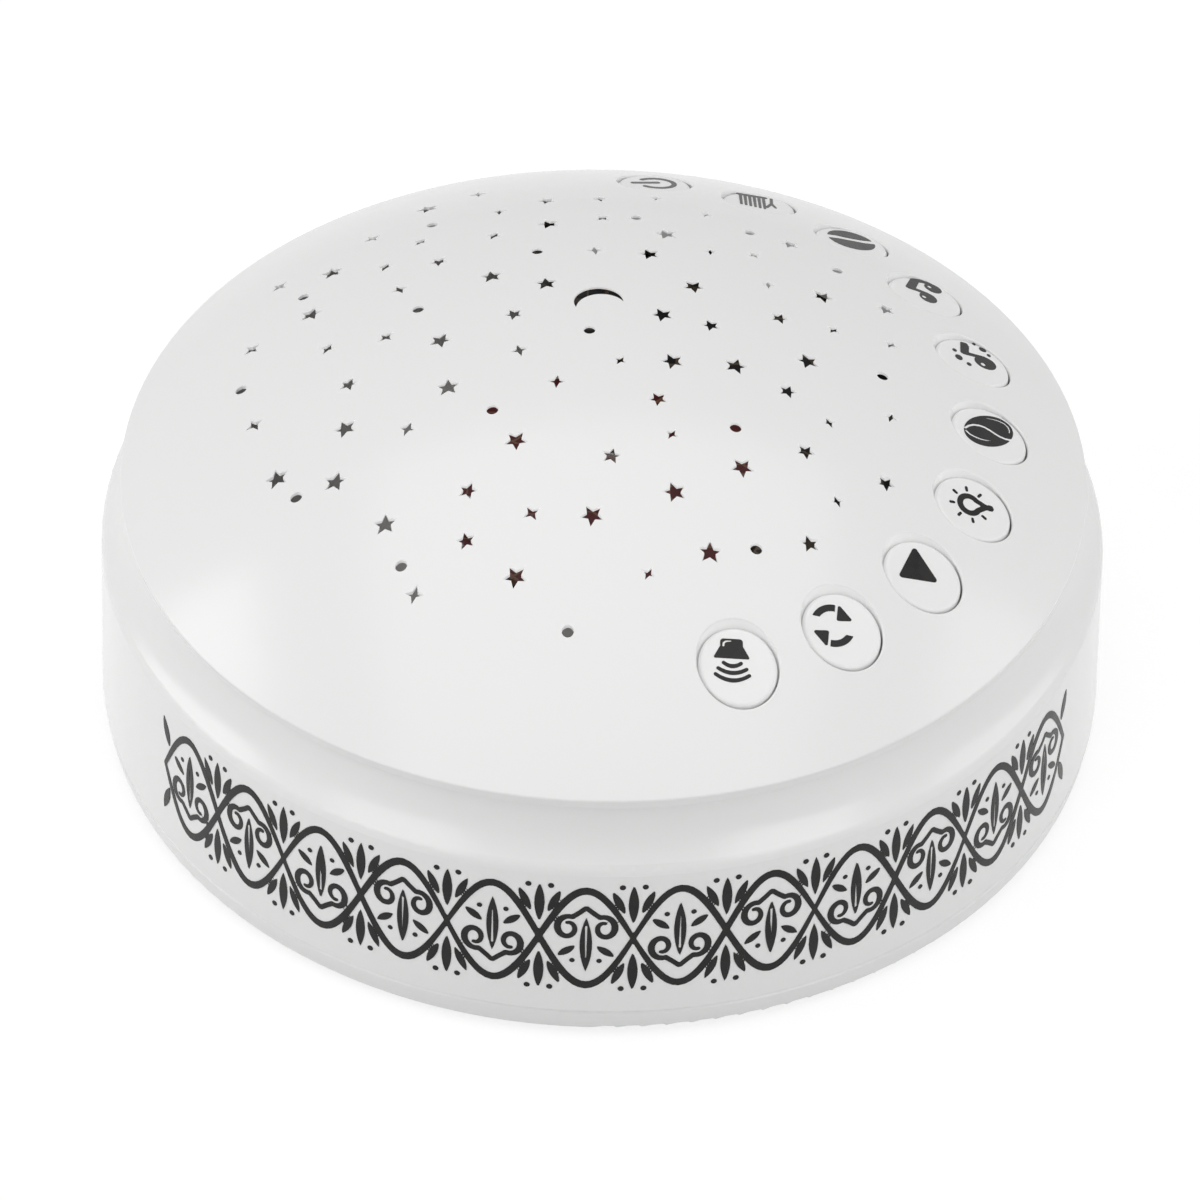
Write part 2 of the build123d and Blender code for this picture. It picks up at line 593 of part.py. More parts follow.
with BuildPart() as bottom_cover:
    with BuildSketch(Plane.XZ) as base_section:
        with BuildLine():
            tongue_out = BELLY_RADIUS - BODY_WALL - FIT_GAP
            tongue_in = tongue_out - TONGUE_WALL
            Polyline((0, FOOT_PROUD), (base_radius, FOOT_PROUD), (BELLY_RADIUS, seam_z),
                     (tongue_out, seam_z), (tongue_out, seam_z + TONGUE_HEIGHT),
                     (tongue_in, seam_z + TONGUE_HEIGHT), (tongue_in, floor_z), (0, floor_z), close=True)
        make_face()
        lower_edge = base_section.vertices().sort_by_distance((base_radius, FOOT_PROUD))[0]
        fillet(lower_edge, radius=BASE_ROUND)
        seam_edge = base_section.vertices().sort_by_distance((BELLY_RADIUS, seam_z))[0]
        chamfer(seam_edge, length=SEAM_CHAMFER)
    revolve(axis=Axis.Z)

    # Bosses, posts, cradles
    with BuildSketch(Plane.XY.offset(floor_z)):
        with Locations(*base_screw_places):
            Circle(BASE_POST_DIAMETER / 2)
    extrude(amount=base_boss_top - floor_z)
    with BuildSketch(Plane.XY.offset(floor_z)):
        with Locations(*power_posts):
            Circle(SMALL_POST_DIAMETER / 2)
    extrude(amount=POWER_BOARD_LIFT)
    with BuildSketch(Plane.XY.offset(floor_z)):
        with Locations(*speaker_posts):
            Circle(POST_DIAMETER / 2)
    extrude(amount=speaker_flange_top - floor_z)
    with BuildSketch(Plane.XY.offset(floor_z)):
        with Locations(*strap_posts):
            Circle(SMALL_POST_DIAMETER / 2)
    extrude(amount=STRAP_POST_HEIGHT)
    with BuildSketch(Plane.XY.offset(floor_z)):
        with Locations((cell_x, -CRADLE_SPACING / 2), (cell_x, CRADLE_SPACING / 2)):
            Rectangle(CRADLE_WIDTH, CRADLE_THICKNESS)
    extrude(amount=cell_z - floor_z)
    with BuildSketch(Plane.XZ.offset(-CELL_LENGTH / 2)):
        with Locations((cell_x, cell_z)):
            Circle(CELL_DIAMETER / 2 + SCREW_PLAY)
    extrude(amount=CELL_LENGTH, mode=Mode.SUBTRACT)

    # Screw holes into the posts
    with BuildSketch(Plane.XY.offset(floor_z)):
        with Locations(*power_posts, *strap_posts):
            Circle(SMALL_SCREW_DIAMETER / 2 + SCREW_PLAY / 2)
    extrude(amount=crown_z, mode=Mode.SUBTRACT)
    with BuildSketch(Plane.XY.offset(speaker_flange_top)):
        with Locations(*speaker_posts):
            Circle(SMALL_SCREW_DIAMETER / 2 + SCREW_PLAY / 2)
    extrude(amount=-SPEAKER_SCREW_LENGTH - SCREW_PLAY, mode=Mode.SUBTRACT)

    # Base screws: a hole with a deep counterbore
    with BuildSketch(Plane.XY.offset(FOOT_PROUD)):
        with Locations(*base_screw_places):
            Circle(SCREW_DIAMETER / 2 + FIT_GAP)
    extrude(amount=base_boss_top, mode=Mode.SUBTRACT)
    with BuildSketch(Plane.XY.offset(FOOT_PROUD)):
        with Locations(*base_screw_places):
            Circle(SCREW_HEAD_DIAMETER / 2 + FIT_GAP)
    extrude(amount=base_head_top - FOOT_PROUD, mode=Mode.SUBTRACT)

    # Seats for the feet
    with BuildSketch(Plane.XY.offset(FOOT_PROUD)):
        with PolarLocations(foot_radius, FOOT_COUNT, start_angle=FOOT_START):
            Circle(FOOT_DIAMETER / 2)
    extrude(amount=FOOT_SINK, mode=Mode.SUBTRACT)

    # Speaker grille
    with BuildSketch(Plane.XY.offset(FOOT_PROUD)):
        with Locations((SPEAKER_X, SPEAKER_Y)):
            Circle(GRILLE_HOLE_DIAMETER / 2)
            for ring in range(1, GRILLE_RINGS + 1):
                with PolarLocations(ring * GRILLE_PITCH, 6 * ring):
                    Circle(GRILLE_HOLE_DIAMETER / 2)
    extrude(amount=BASE_WALL, mode=Mode.SUBTRACT)
bottom_cover.part.label = "bottom_cover"
export_step(bottom_cover.part, "parts/bottom_cover.step")

with BuildPart() as rubber_feet:
    with BuildSketch():
        with PolarLocations(foot_radius, FOOT_COUNT, start_angle=FOOT_START):
            Circle(FOOT_DIAMETER / 2)
    extrude(amount=foot_top)
    lower_rims = rubber_feet.edges().group_by(Axis.Z)[0]
    chamfer(lower_rims, length=FOOT_CHAMFER)
rubber_feet.part.label = "rubber_feet"
export_step(rubber_feet.part, "parts/rubber_feet.step")

# ---------------------------------------------------------------------------
# Keys: a cap and its switch plunger move together
# ---------------------------------------------------------------------------

for name, bearing in zip(KEY_NAMES, key_bearings):
    x, y = at(key_ring, bearing)
    tilt = Vector(*at(sin(key_slope), bearing), cos(key_slope))
    top_plane = Plane(origin=(x, y, key_top_z), z_dir=tilt)
    roof_plane = Plane(origin=(x, y, key_top_z - KEY_WALL / cos(key_slope)), z_dir=tilt)

    with BuildPart() as key_hollow:
        with BuildSketch(Plane.XY.offset(key_bottom)):
            with Locations((x, y)):
                Circle(key_radius - KEY_WALL)
                Circle(KEY_STEM_DIAMETER / 2, mode=Mode.SUBTRACT)
        extrude(amount=crown_z - key_bottom)
        split(bisect_by=roof_plane, keep=Keep.BOTTOM)

    with BuildPart() as key_cap:
        with BuildSketch(Plane.XY.offset(key_bottom)):
            with Locations((x, y)):
                Circle(key_radius)
        extrude(amount=crown_z - key_bottom)
        split(bisect_by=top_plane, keep=Keep.BOTTOM)
        top_face = key_cap.faces().sort_by(Axis((0, 0, 0), tilt))[-1]
        fillet(top_face.edges(), radius=KEY_EDGE_ROUND)
        with BuildSketch(Plane.XY.offset(key_bottom)):
            with Locations((x, y)):
                Circle(key_flange_radius)
        extrude(amount=KEY_FLANGE_THICKNESS)
        add(key_hollow.part, mode=Mode.SUBTRACT)
    key_cap.part.label = f"key_{name}"
    export_step(key_cap.part, f"parts/key_{name}.step")

    with BuildPart() as plunger:
        with BuildSketch(Plane.XY.offset(switch_top - PLUNGER_SEAT)):
            with Locations((x, y)):
                Circle(PLUNGER_DIAMETER / 2)
        extrude(amount=PLUNGER_SEAT + PLUNGER_REACH)
    plunger.part.label = f"plunger_{name}"
    export_step(plunger.part, f"parts/plunger_{name}.step")

# ---------------------------------------------------------------------------
# Key board under the keys
# ---------------------------------------------------------------------------

with BuildPart() as key_board:
    with BuildSketch(Plane.XY.offset(key_board_bottom)):
        with BuildLine():
            sweep_angle = last_board_bearing - first_board_bearing
            outer_arc = CenterArc((0, 0), key_board_radius, first_board_bearing, sweep_angle)
            inner_arc = CenterArc((0, 0), BOARD_INNER_RADIUS, first_board_bearing, sweep_angle)
            Line(outer_arc @ 0, inner_arc @ 0)
            Line(outer_arc @ 1, inner_arc @ 1)
        make_face()
    extrude(amount=BOARD_THICKNESS)
    with BuildSketch(Plane.XY.offset(key_board_bottom)):
        with Locations(*key_board_screw_places):
            Circle(SMALL_SCREW_DIAMETER / 2 + FIT_GAP / 2)
    extrude(amount=BOARD_THICKNESS, mode=Mode.SUBTRACT)
key_board.part.label = "key_board"
export_step(key_board.part, "parts/key_board.step")

with BuildPart() as key_switches:
    for bearing in key_bearings:
        with BuildSketch(Plane.XY.offset(key_board_top)):
            with Locations(Location((*at(key_ring, bearing), 0), (0, 0, bearing))):
                Rectangle(SWITCH_SIZE, SWITCH_SIZE)
        extrude(amount=SWITCH_HEIGHT)
    with BuildSketch(Plane.XY.offset(switch_top - PLUNGER_SEAT - KEY_TRAVEL - PLUNGER_FLOOR_GAP)):
        with Locations(*key_places):
            Circle(PLUNGER_DIAMETER / 2 + PLUNGER_GAP)
    extrude(amount=SWITCH_HEIGHT, mode=Mode.SUBTRACT)
key_switches.part.label = "key_switches"
export_step(key_switches.part, "parts/key_switches.step")

with BuildPart() as key_board_chips:
    with BuildSketch(Plane.XY.offset(key_board_top)):
        for bearing, length, width in KEY_BOARD_CHIPS:
            with Locations(Location((*at(KEY_BOARD_CHIP_RADIUS, bearing), 0), (0, 0, bearing))):
                Rectangle(width, length)
    extrude(amount=CHIP_HEIGHT)
key_board_chips.part.label = "key_board_chips"
export_step(key_board_chips.part, "parts/key_board_chips.step")

with BuildPart() as key_board_screws:
    add_screws(key_board_screw_places, key_board_bottom, SMALL_HEAD_DIAMETER, SMALL_HEAD_HEIGHT,
               SMALL_SCREW_DIAMETER, SMALL_SCREW_LENGTH)
key_board_screws.part.label = "key_board_screws"
export_step(key_board_screws.part, "parts/key_board_screws.step")

# ---------------------------------------------------------------------------
# Light chamber: the tray under the shelf, the lamp board and its lens
# ---------------------------------------------------------------------------

with BuildPart() as light_tray:
    with BuildSketch(Plane.XY.offset(tray_bottom)):
        Circle(tray_radius)
        with Locations(*base_screw_places):
            Circle(BASE_POST_DIAMETER / 2 + TRAY_GAP, mode=Mode.SUBTRACT)
        with Locations(*cover_screw_places):
            Circle(SCREW_DIAMETER / 2 + FIT_GAP, mode=Mode.SUBTRACT)
        with Locations(lead_hole):
            Circle(LEAD_HOLE_DIAMETER / 2, mode=Mode.SUBTRACT)
    extrude(amount=TRAY_THICKNESS)
    with BuildSketch(Plane.XY.offset(lamp_board_bottom - LAMP_POST_HEIGHT)):
        with Locations(*lamp_screw_places):
            Circle(SMALL_POST_DIAMETER / 2)
    extrude(amount=LAMP_POST_HEIGHT)
    with BuildSketch(Plane.XY.offset(lamp_board_bottom)):
        with Locations(*lamp_screw_places):
            Circle(SMALL_SCREW_DIAMETER / 2 + SCREW_PLAY / 2)
    extrude(amount=BOARD_THICKNESS - SMALL_SCREW_LENGTH, mode=Mode.SUBTRACT)
light_tray.part.label = "light_tray"
export_step(light_tray.part, "parts/light_tray.step")

with BuildPart() as lamp_board:
    with BuildSketch(Plane.XY.offset(lamp_board_bottom)):
        Circle(LAMP_BOARD_RADIUS)
        with Locations(*lamp_screw_places):
            Circle(SMALL_SCREW_DIAMETER / 2 + FIT_GAP / 2, mode=Mode.SUBTRACT)
    extrude(amount=BOARD_THICKNESS)
lamp_board.part.label = "lamp_board"
export_step(lamp_board.part, "parts/lamp_board.step")

with BuildPart() as lamp_screws:
    add_screws(lamp_screw_places, lamp_board_top, SMALL_HEAD_DIAMETER, SMALL_HEAD_HEIGHT,
               SMALL_SCREW_DIAMETER, FIT_GAP - SMALL_SCREW_LENGTH)
lamp_screws.part.label = "lamp_screws"
export_step(lamp_screws.part, "parts/lamp_screws.step")

with BuildPart() as star_led:
    with BuildSketch(Plane.XY.offset(lamp_board_top)):
        Rectangle(LED_SIZE, LED_SIZE)
    extrude(amount=LED_HEIGHT)
star_led.part.label = "star_led"
export_step(star_led.part, "parts/star_led.step")

with BuildPart() as night_leds:
    with BuildSketch(Plane.XY.offset(lamp_board_top)):
        with PolarLocations(LED_RING_RADIUS, LED_RING_COUNT):
            Rectangle(LED_SIZE, LED_SIZE)
    extrude(amount=LED_HEIGHT)
night_leds.part.label = "night_leds"
export_step(night_leds.part, "parts/night_leds.step")

with BuildPart() as star_lens:
    with BuildSketch(Plane.XZ):
        with Locations((0, lamp_board_top)):
            Circle(LENS_DIAMETER / 2)
            Circle(LENS_DIAMETER / 2 - LENS_WALL, mode=Mode.SUBTRACT)
            Rectangle(LENS_DIAMETER, LENS_DIAMETER, align=(Align.MAX, Align.CENTER), mode=Mode.SUBTRACT)
            Rectangle(LENS_DIAMETER, LENS_DIAMETER, align=(Align.CENTER, Align.MAX), mode=Mode.SUBTRACT)
    revolve(axis=Axis.Z)
star_lens.part.label = "star_lens"
export_step(star_lens.part, "parts/star_lens.step")

# ---------------------------------------------------------------------------
# Speaker, face down over the grille
# ---------------------------------------------------------------------------

speaker_plane = Plane(origin=(SPEAKER_X, SPEAKER_Y, 0), x_dir=(1, 0, 0), z_dir=(0, -1, 0))
speaker_axis = Axis((SPEAKER_X, SPEAKER_Y, 0), (0, 0, 1))

with BuildPart() as speaker_gasket:
    with BuildSketch(Plane.XY.offset(floor_z)):
        with Locations((SPEAKER_X, SPEAKER_Y)):
            Circle(SPEAKER_RADIUS)
            Circle(SPEAKER_RADIUS - SPEAKER_GASKET_WIDTH, mode=Mode.SUBTRACT)
    extrude(amount=SPEAKER_GASKET_THICKNESS)
speaker_gasket.part.label = "speaker_gasket"
export_step(speaker_gasket.part, "parts/speaker_gasket.step")

with BuildPart() as speaker_frame:
    with BuildSketch(speaker_plane):
        with BuildLine():
            mouth = SPEAKER_RADIUS - SPEAKER_RIM_WIDTH
            Polyline((SPEAKER_RADIUS, gasket_top), (SPEAKER_RADIUS, speaker_flange_top),
                     (mouth + BASKET_WALL, speaker_flange_top), (BASKET_BACK_RADIUS, basket_back_z),
                     (BASKET_BACK_RADIUS, basket_top), (BASKET_HOLE_RADIUS, basket_top),
                     (BASKET_HOLE_RADIUS, basket_back_z), (BASKET_BACK_RADIUS - BASKET_WALL, basket_back_z),
                     (mouth, speaker_flange_top), (mouth, gasket_top), close=True)
        make_face()
    revolve(axis=speaker_axis)
    with BuildSketch(Plane.XY.offset(speaker_flange_top + BASKET_WINDOW_EDGE)):
        with Locations((SPEAKER_X, SPEAKER_Y)):
            with PolarLocations(SPEAKER_RADIUS, BASKET_WINDOW_COUNT, start_angle=BASKET_WINDOW_START):
                Rectangle(BASKET_BACK_RADIUS, BASKET_WINDOW_WIDTH)
    extrude(amount=BASKET_DEPTH - 2 * BASKET_WINDOW_EDGE, mode=Mode.SUBTRACT)
speaker_frame.part.label = "speaker_frame"
export_step(speaker_frame.part, "parts/speaker_frame.step")

with BuildPart() as speaker_magnet:
    with BuildSketch(Plane.XY.offset(basket_top)):
        with Locations((SPEAKER_X, SPEAKER_Y)):
            Circle(MAGNET_RADIUS)
    extrude(amount=MAGNET_THICKNESS)
    with BuildSketch(Plane.XY.offset(basket_top + MAGNET_THICKNESS)):
        with Locations((SPEAKER_X, SPEAKER_Y)):
            Circle(MAGNET_RADIUS - BASKET_WALL)
    extrude(amount=BASKET_WALL)
speaker_magnet.part.label = "speaker_magnet"
export_step(speaker_magnet.part, "parts/speaker_magnet.step")

with BuildPart() as speaker_cone:
    with BuildSketch(speaker_plane):
        with BuildLine():
            lip_radius = SPEAKER_RADIUS - SPEAKER_RIM_WIDTH - SCREW_PLAY
            surround_radius = lip_radius - SURROUND_WIDTH
            coil_inner_radius = COIL_RADIUS - CONE_WALL
            cone_z = gasket_top + CONE_SETBACK
            throat_z = cone_z + CONE_HEIGHT
            cap_z = throat_z - DUST_CAP_BULGE
            Polyline((lip_radius, cone_z), (surround_radius, cone_z), (COIL_RADIUS, throat_z),
                     (0, cap_z), (0, cap_z + CONE_WALL), (coil_inner_radius, throat_z + CONE_WALL),
                     (coil_inner_radius, basket_back_z), (COIL_RADIUS, basket_back_z),
                     (COIL_RADIUS, throat_z + 2 * CONE_WALL), (surround_radius, cone_z + 2 * CONE_WALL),
                     (lip_radius, cone_z + CONE_WALL), close=True)
        make_face()
    revolve(axis=speaker_axis)
speaker_cone.part.label = "speaker_cone"
export_step(speaker_cone.part, "parts/speaker_cone.step")

with BuildPart() as speaker_screws:
    add_screws(speaker_posts, speaker_flange_top, WASHER_HEAD_DIAMETER, WASHER_HEAD_HEIGHT,
               SMALL_SCREW_DIAMETER, -SPEAKER_SCREW_LENGTH)
speaker_screws.part.label = "speaker_screws"
export_step(speaker_screws.part, "parts/speaker_screws.step")

# ---------------------------------------------------------------------------
# Battery
# ---------------------------------------------------------------------------

with BuildPart() as battery_cell:
    with BuildSketch(Plane.XZ.offset(-CELL_LENGTH / 2)):
        with Locations((cell_x, cell_z)):
            Circle(CELL_DIAMETER / 2)
    extrude(amount=CELL_LENGTH)
    chamfer(battery_cell.edges().filter_by(GeomType.CIRCLE), length=CELL_CHAMFER)
battery_cell.part.label = "battery_cell"
export_step(battery_cell.part, "parts/battery_cell.step")

with BuildPart() as battery_strap:
    strap_inner = CELL_DIAMETER / 2 + SCREW_PLAY
    strap_outer = strap_inner + STRAP_THICKNESS
    ear_bottom = floor_z + STRAP_POST_HEIGHT
    with BuildSketch(Plane.XZ.offset(-STRAP_WIDTH / 2)):
        with Locations((cell_x, cell_z)):
            Circle(strap_outer)
            Rectangle(3 * strap_outer, strap_outer, align=(Align.CENTER, Align.MAX), mode=Mode.SUBTRACT)
            Rectangle(2 * strap_outer, cell_z - ear_bottom, align=(Align.CENTER, Align.MAX))
        with Locations((cell_x, ear_bottom)):
            Rectangle(2 * (strap_outer + STRAP_EAR), STRAP_THICKNESS, align=(Align.CENTER, Align.MIN))
        with Locations((cell_x, cell_z)):
            Circle(strap_inner, mode=Mode.SUBTRACT)
            Rectangle(2 * strap_inner, strap_outer, align=(Align.CENTER, Align.MAX), mode=Mode.SUBTRACT)
    extrude(amount=STRAP_WIDTH)
    with BuildSketch(Plane.XY.offset(ear_bottom)):
        with Locations(*strap_posts):
            Circle(SMALL_SCREW_DIAMETER / 2 + FIT_GAP / 2)
    extrude(amount=STRAP_THICKNESS, mode=Mode.SUBTRACT)
battery_strap.part.label = "battery_strap"
export_step(battery_strap.part, "parts/battery_strap.step")

with BuildPart() as strap_screws:
    add_screws(strap_posts, ear_bottom + STRAP_THICKNESS, SMALL_HEAD_DIAMETER, SMALL_HEAD_HEIGHT,
               SMALL_SCREW_DIAMETER, -SMALL_SCREW_LENGTH)
strap_screws.part.label = "strap_screws"
export_step(strap_screws.part, "parts/strap_screws.step")

# ---------------------------------------------------------------------------
# Power board and charging socket
# ---------------------------------------------------------------------------

with BuildPart() as power_board:
    with BuildSketch(Plane.XY.offset(power_board_bottom)):
        Circle(body_inner_radius(power_board_bottom) - POWER_BOARD_GAP)
        with Locations((0, POWER_BOARD_FRONT)):
            Rectangle(POWER_BOARD_WIDTH, BELLY_RADIUS, align=(Align.CENTER, Align.MIN), mode=Mode.INTERSECT)
        with Locations(*power_posts):
            Circle(SMALL_SCREW_DIAMETER / 2 + FIT_GAP / 2, mode=Mode.SUBTRACT)
    extrude(amount=BOARD_THICKNESS)
power_board.part.label = "power_board"
export_step(power_board.part, "parts/power_board.step")

with BuildPart() as power_board_screws:
    add_screws(power_posts, power_board_top, SMALL_HEAD_DIAMETER, SMALL_HEAD_HEIGHT,
               SMALL_SCREW_DIAMETER, -SMALL_SCREW_LENGTH)
power_board_screws.part.label = "power_board_screws"
export_step(power_board_screws.part, "parts/power_board_screws.step")

with BuildPart() as power_board_chips:
    for x, y, length, width, height in POWER_BOARD_CHIPS:
        with BuildSketch(Plane.XY.offset(power_board_top)):
            with Locations((x, y)):
                Rectangle(length, width)
        extrude(amount=height)
    with BuildSketch(Plane.XY.offset(power_board_top)):
        with Locations(*CAPACITORS):
            Circle(CAPACITOR_RADIUS)
    extrude(amount=CAPACITOR_HEIGHT)
power_board_chips.part.label = "power_board_chips"
export_step(power_board_chips.part, "parts/power_board_chips.step")

with BuildPart() as lead_plugs:
    with BuildSketch(Plane.XY.offset(power_board_top)):
        for x in LEAD_PLUG_X:
            with Locations((x, LEAD_PLUG_Y)):
                Rectangle(LEAD_PLUG_WIDTH, LEAD_PLUG_DEPTH)
    extrude(amount=LEAD_PLUG_HEIGHT)
lead_plugs.part.label = "lead_plugs"
export_step(lead_plugs.part, "parts/lead_plugs.step")

with BuildPart() as charging_socket:
    with BuildSketch(Plane.XZ.offset(-socket_mouth_y)):
        with Locations((0, socket_z)):
            SlotOverall(SOCKET_WIDTH, SOCKET_HEIGHT)
    extrude(amount=SOCKET_DEPTH)
    with BuildSketch(Plane.XZ.offset(-socket_mouth_y)):
        with Locations((0, socket_z)):
            SlotOverall(SOCKET_WIDTH - 2 * SOCKET_WALL, SOCKET_HEIGHT - 2 * SOCKET_WALL)
    extrude(amount=SOCKET_DEPTH - SOCKET_BACK, mode=Mode.SUBTRACT)
    with BuildSketch(Plane.XZ.offset(-socket_mouth_y + SOCKET_TONGUE_SETBACK)):
        with Locations((0, socket_z)):
            Rectangle(SOCKET_TONGUE_WIDTH, SOCKET_TONGUE_THICKNESS)
    extrude(amount=SOCKET_DEPTH - SOCKET_TONGUE_SETBACK)
charging_socket.part.label = "charging_socket"
export_step(charging_socket.part, "parts/charging_socket.step")

# ---------------------------------------------------------------------------
# Screws that hold the casing
# ---------------------------------------------------------------------------

with BuildPart() as cover_screws:
    add_screws(cover_screw_places, tray_bottom, SCREW_HEAD_DIAMETER, SCREW_HEAD_HEIGHT,
               SCREW_DIAMETER, SCREW_LENGTH)
cover_screws.part.label = "cover_screws"
export_step(cover_screws.part, "parts/cover_screws.step")

with BuildPart() as base_screws:
    add_screws(base_screw_places, base_head_top, SCREW_HEAD_DIAMETER, SCREW_HEAD_HEIGHT,
               SCREW_DIAMETER, SCREW_LENGTH)
    with BuildSketch(Plane.XY.offset(base_head_top - SCREW_HEAD_HEIGHT)):
        with Locations(*base_screw_places):
            Rectangle(DRIVER_SLOT_LENGTH, DRIVER_SLOT_WIDTH)
            Rectangle(DRIVER_SLOT_WIDTH, DRIVER_SLOT_LENGTH)
    extrude(amount=DRIVER_SLOT_DEPTH, mode=Mode.SUBTRACT)
base_screws.part.label = "base_screws"
export_step(base_screws.part, "parts/base_screws.step")

# ---------------------------------------------------------------------------
# Leads inside the casing: straight runs joined by arcs
# ---------------------------------------------------------------------------

plug_z = power_board_top + LEAD_PLUG_HEIGHT / 2
plug_front_y = LEAD_PLUG_Y - LEAD_PLUG_DEPTH / 2
hole_x, hole_y = lead_hole
lamp_lead_z = lamp_board_top + LEAD_DIAMETER / 2
key_lead_z = key_board_top + LEAD_DIAMETER / 2
cell_end_y = CELL_LENGTH / 2
speaker_tag_y = SPEAKER_Y + SPEAKER_RADIUS - SPEAKER_RIM_WIDTH + BASKET_WALL

LEAD_ROUTES = {
    "speaker_lead": (
        (SPEAKER_X, speaker_tag_y, speaker_tag_z),
        (SPEAKER_X, speaker_tag_y + SPEAKER_LEAD_RUN, speaker_tag_z),
        (LEAD_PLUG_X[0], plug_front_y - SPEAKER_LEAD_RUN, plug_z),
        (LEAD_PLUG_X[0], plug_front_y, plug_z),
    ),
    "lamp_lead": (
        (LEAD_PLUG_X[1], plug_front_y, plug_z),
        (LEAD_PLUG_X[1], plug_front_y - LAMP_LEAD_RUN, plug_z),
        (hole_x - LEAD_SPREAD, hole_y, plug_z + LAMP_LEAD_RISE),
        (hole_x - LEAD_SPREAD, hole_y, lamp_lead_z),
        (hole_x + LAMP_LEAD_TAIL[0], hole_y + LAMP_LEAD_TAIL[1], lamp_lead_z),
    ),
    "key_lead": (
        (LEAD_PLUG_X[2], plug_front_y, plug_z),
        (LEAD_PLUG_X[2], plug_front_y - KEY_LEAD_RUN, plug_z),
        (hole_x + LEAD_SPREAD, hole_y, plug_z + KEY_LEAD_RISE),
        (hole_x + LEAD_SPREAD, hole_y, key_lead_z),
        (hole_x + KEY_LEAD_TAIL[0], hole_y + KEY_LEAD_TAIL[1], key_lead_z),
    ),
    "battery_lead": (
        (cell_x, cell_end_y, cell_z),
        (cell_x, cell_end_y + BATTERY_LEAD_END, cell_z),
        (cell_x - BATTERY_LEAD_TURNS[0], cell_end_y + BATTERY_LEAD_END, cell_z),
        (cell_x - BATTERY_LEAD_TURNS[1], plug_front_y - BATTERY_LEAD_RUN, plug_z),
        (LEAD_PLUG_X[3], plug_front_y - BATTERY_LEAD_RUN, plug_z),
        (LEAD_PLUG_X[3], plug_front_y, plug_z),
    ),
}
for name, route in LEAD_ROUTES.items():
    with BuildPart() as lead:
        with BuildLine() as lead_line:
            FilletPolyline(*route, radius=LEAD_BEND)
        with BuildSketch(Plane(origin=route[0], z_dir=lead_line.line % 0)):
            Circle(LEAD_DIAMETER / 2)
        sweep()
    lead.part.label = name
    export_step(lead.part, f"parts/{name}.step")
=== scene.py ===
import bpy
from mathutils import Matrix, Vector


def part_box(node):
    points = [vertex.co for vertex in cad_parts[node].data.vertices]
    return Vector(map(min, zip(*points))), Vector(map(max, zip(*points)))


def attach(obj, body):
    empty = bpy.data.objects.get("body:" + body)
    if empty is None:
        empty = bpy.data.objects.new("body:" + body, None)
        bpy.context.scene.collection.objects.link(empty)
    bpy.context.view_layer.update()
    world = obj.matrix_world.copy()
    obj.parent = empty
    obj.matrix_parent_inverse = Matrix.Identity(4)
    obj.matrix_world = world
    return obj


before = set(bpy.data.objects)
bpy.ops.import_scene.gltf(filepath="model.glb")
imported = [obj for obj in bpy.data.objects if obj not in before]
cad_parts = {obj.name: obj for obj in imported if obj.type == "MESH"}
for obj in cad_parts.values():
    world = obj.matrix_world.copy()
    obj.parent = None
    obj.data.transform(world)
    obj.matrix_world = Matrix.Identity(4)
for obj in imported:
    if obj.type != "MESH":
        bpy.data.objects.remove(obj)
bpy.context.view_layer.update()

from math import cos, hypot, pi, radians, sin

import bpy
import numpy as np
from mathutils import Matrix, Vector

bl_info = {
    "name": "Star Night Light",
    "version": (1, 0, 0),
    "blender": (4, 5, 0),
    "location": "View3D > Sidebar > Night Light",
    "description": "Finishes, prints, lights and camera for a round night light that throws stars",
    "category": "Object",
}

MM = 0.001
NODE_SPACING = 220  # distance between nodes in the shader editor
LAMP_AIM = Vector((0, 0, 0.03))  # the middle of the casing
KEY_SLOPES = (0.8, 0.99)  # how upright the normal of a key cap's sloping top may be
WALL_SKIN = 0.0015  # how far inside the widest radius the outer wall still counts
INK_REACH = 0.6  # how far round a shape its edge is worked out, in mm
INK_FREE = 9.0  # distance to ink where none is drawn, in mm
INK_DEPTH = 1.6  # how deep the ink sits in the plastic, against its height above it
SYMBOL_STEP = 0.11  # grid step of a key's symbol, in mm
BAND_STEP = 0.24  # grid step of the wall's ornament, in mm
BAND_MARGIN = 0.5  # bare grid round the wall's ornament, in mm

KEYS = [name.removeprefix("plunger_") for name in sorted(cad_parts) if name.startswith("plunger_")]


# Settings that a user would change


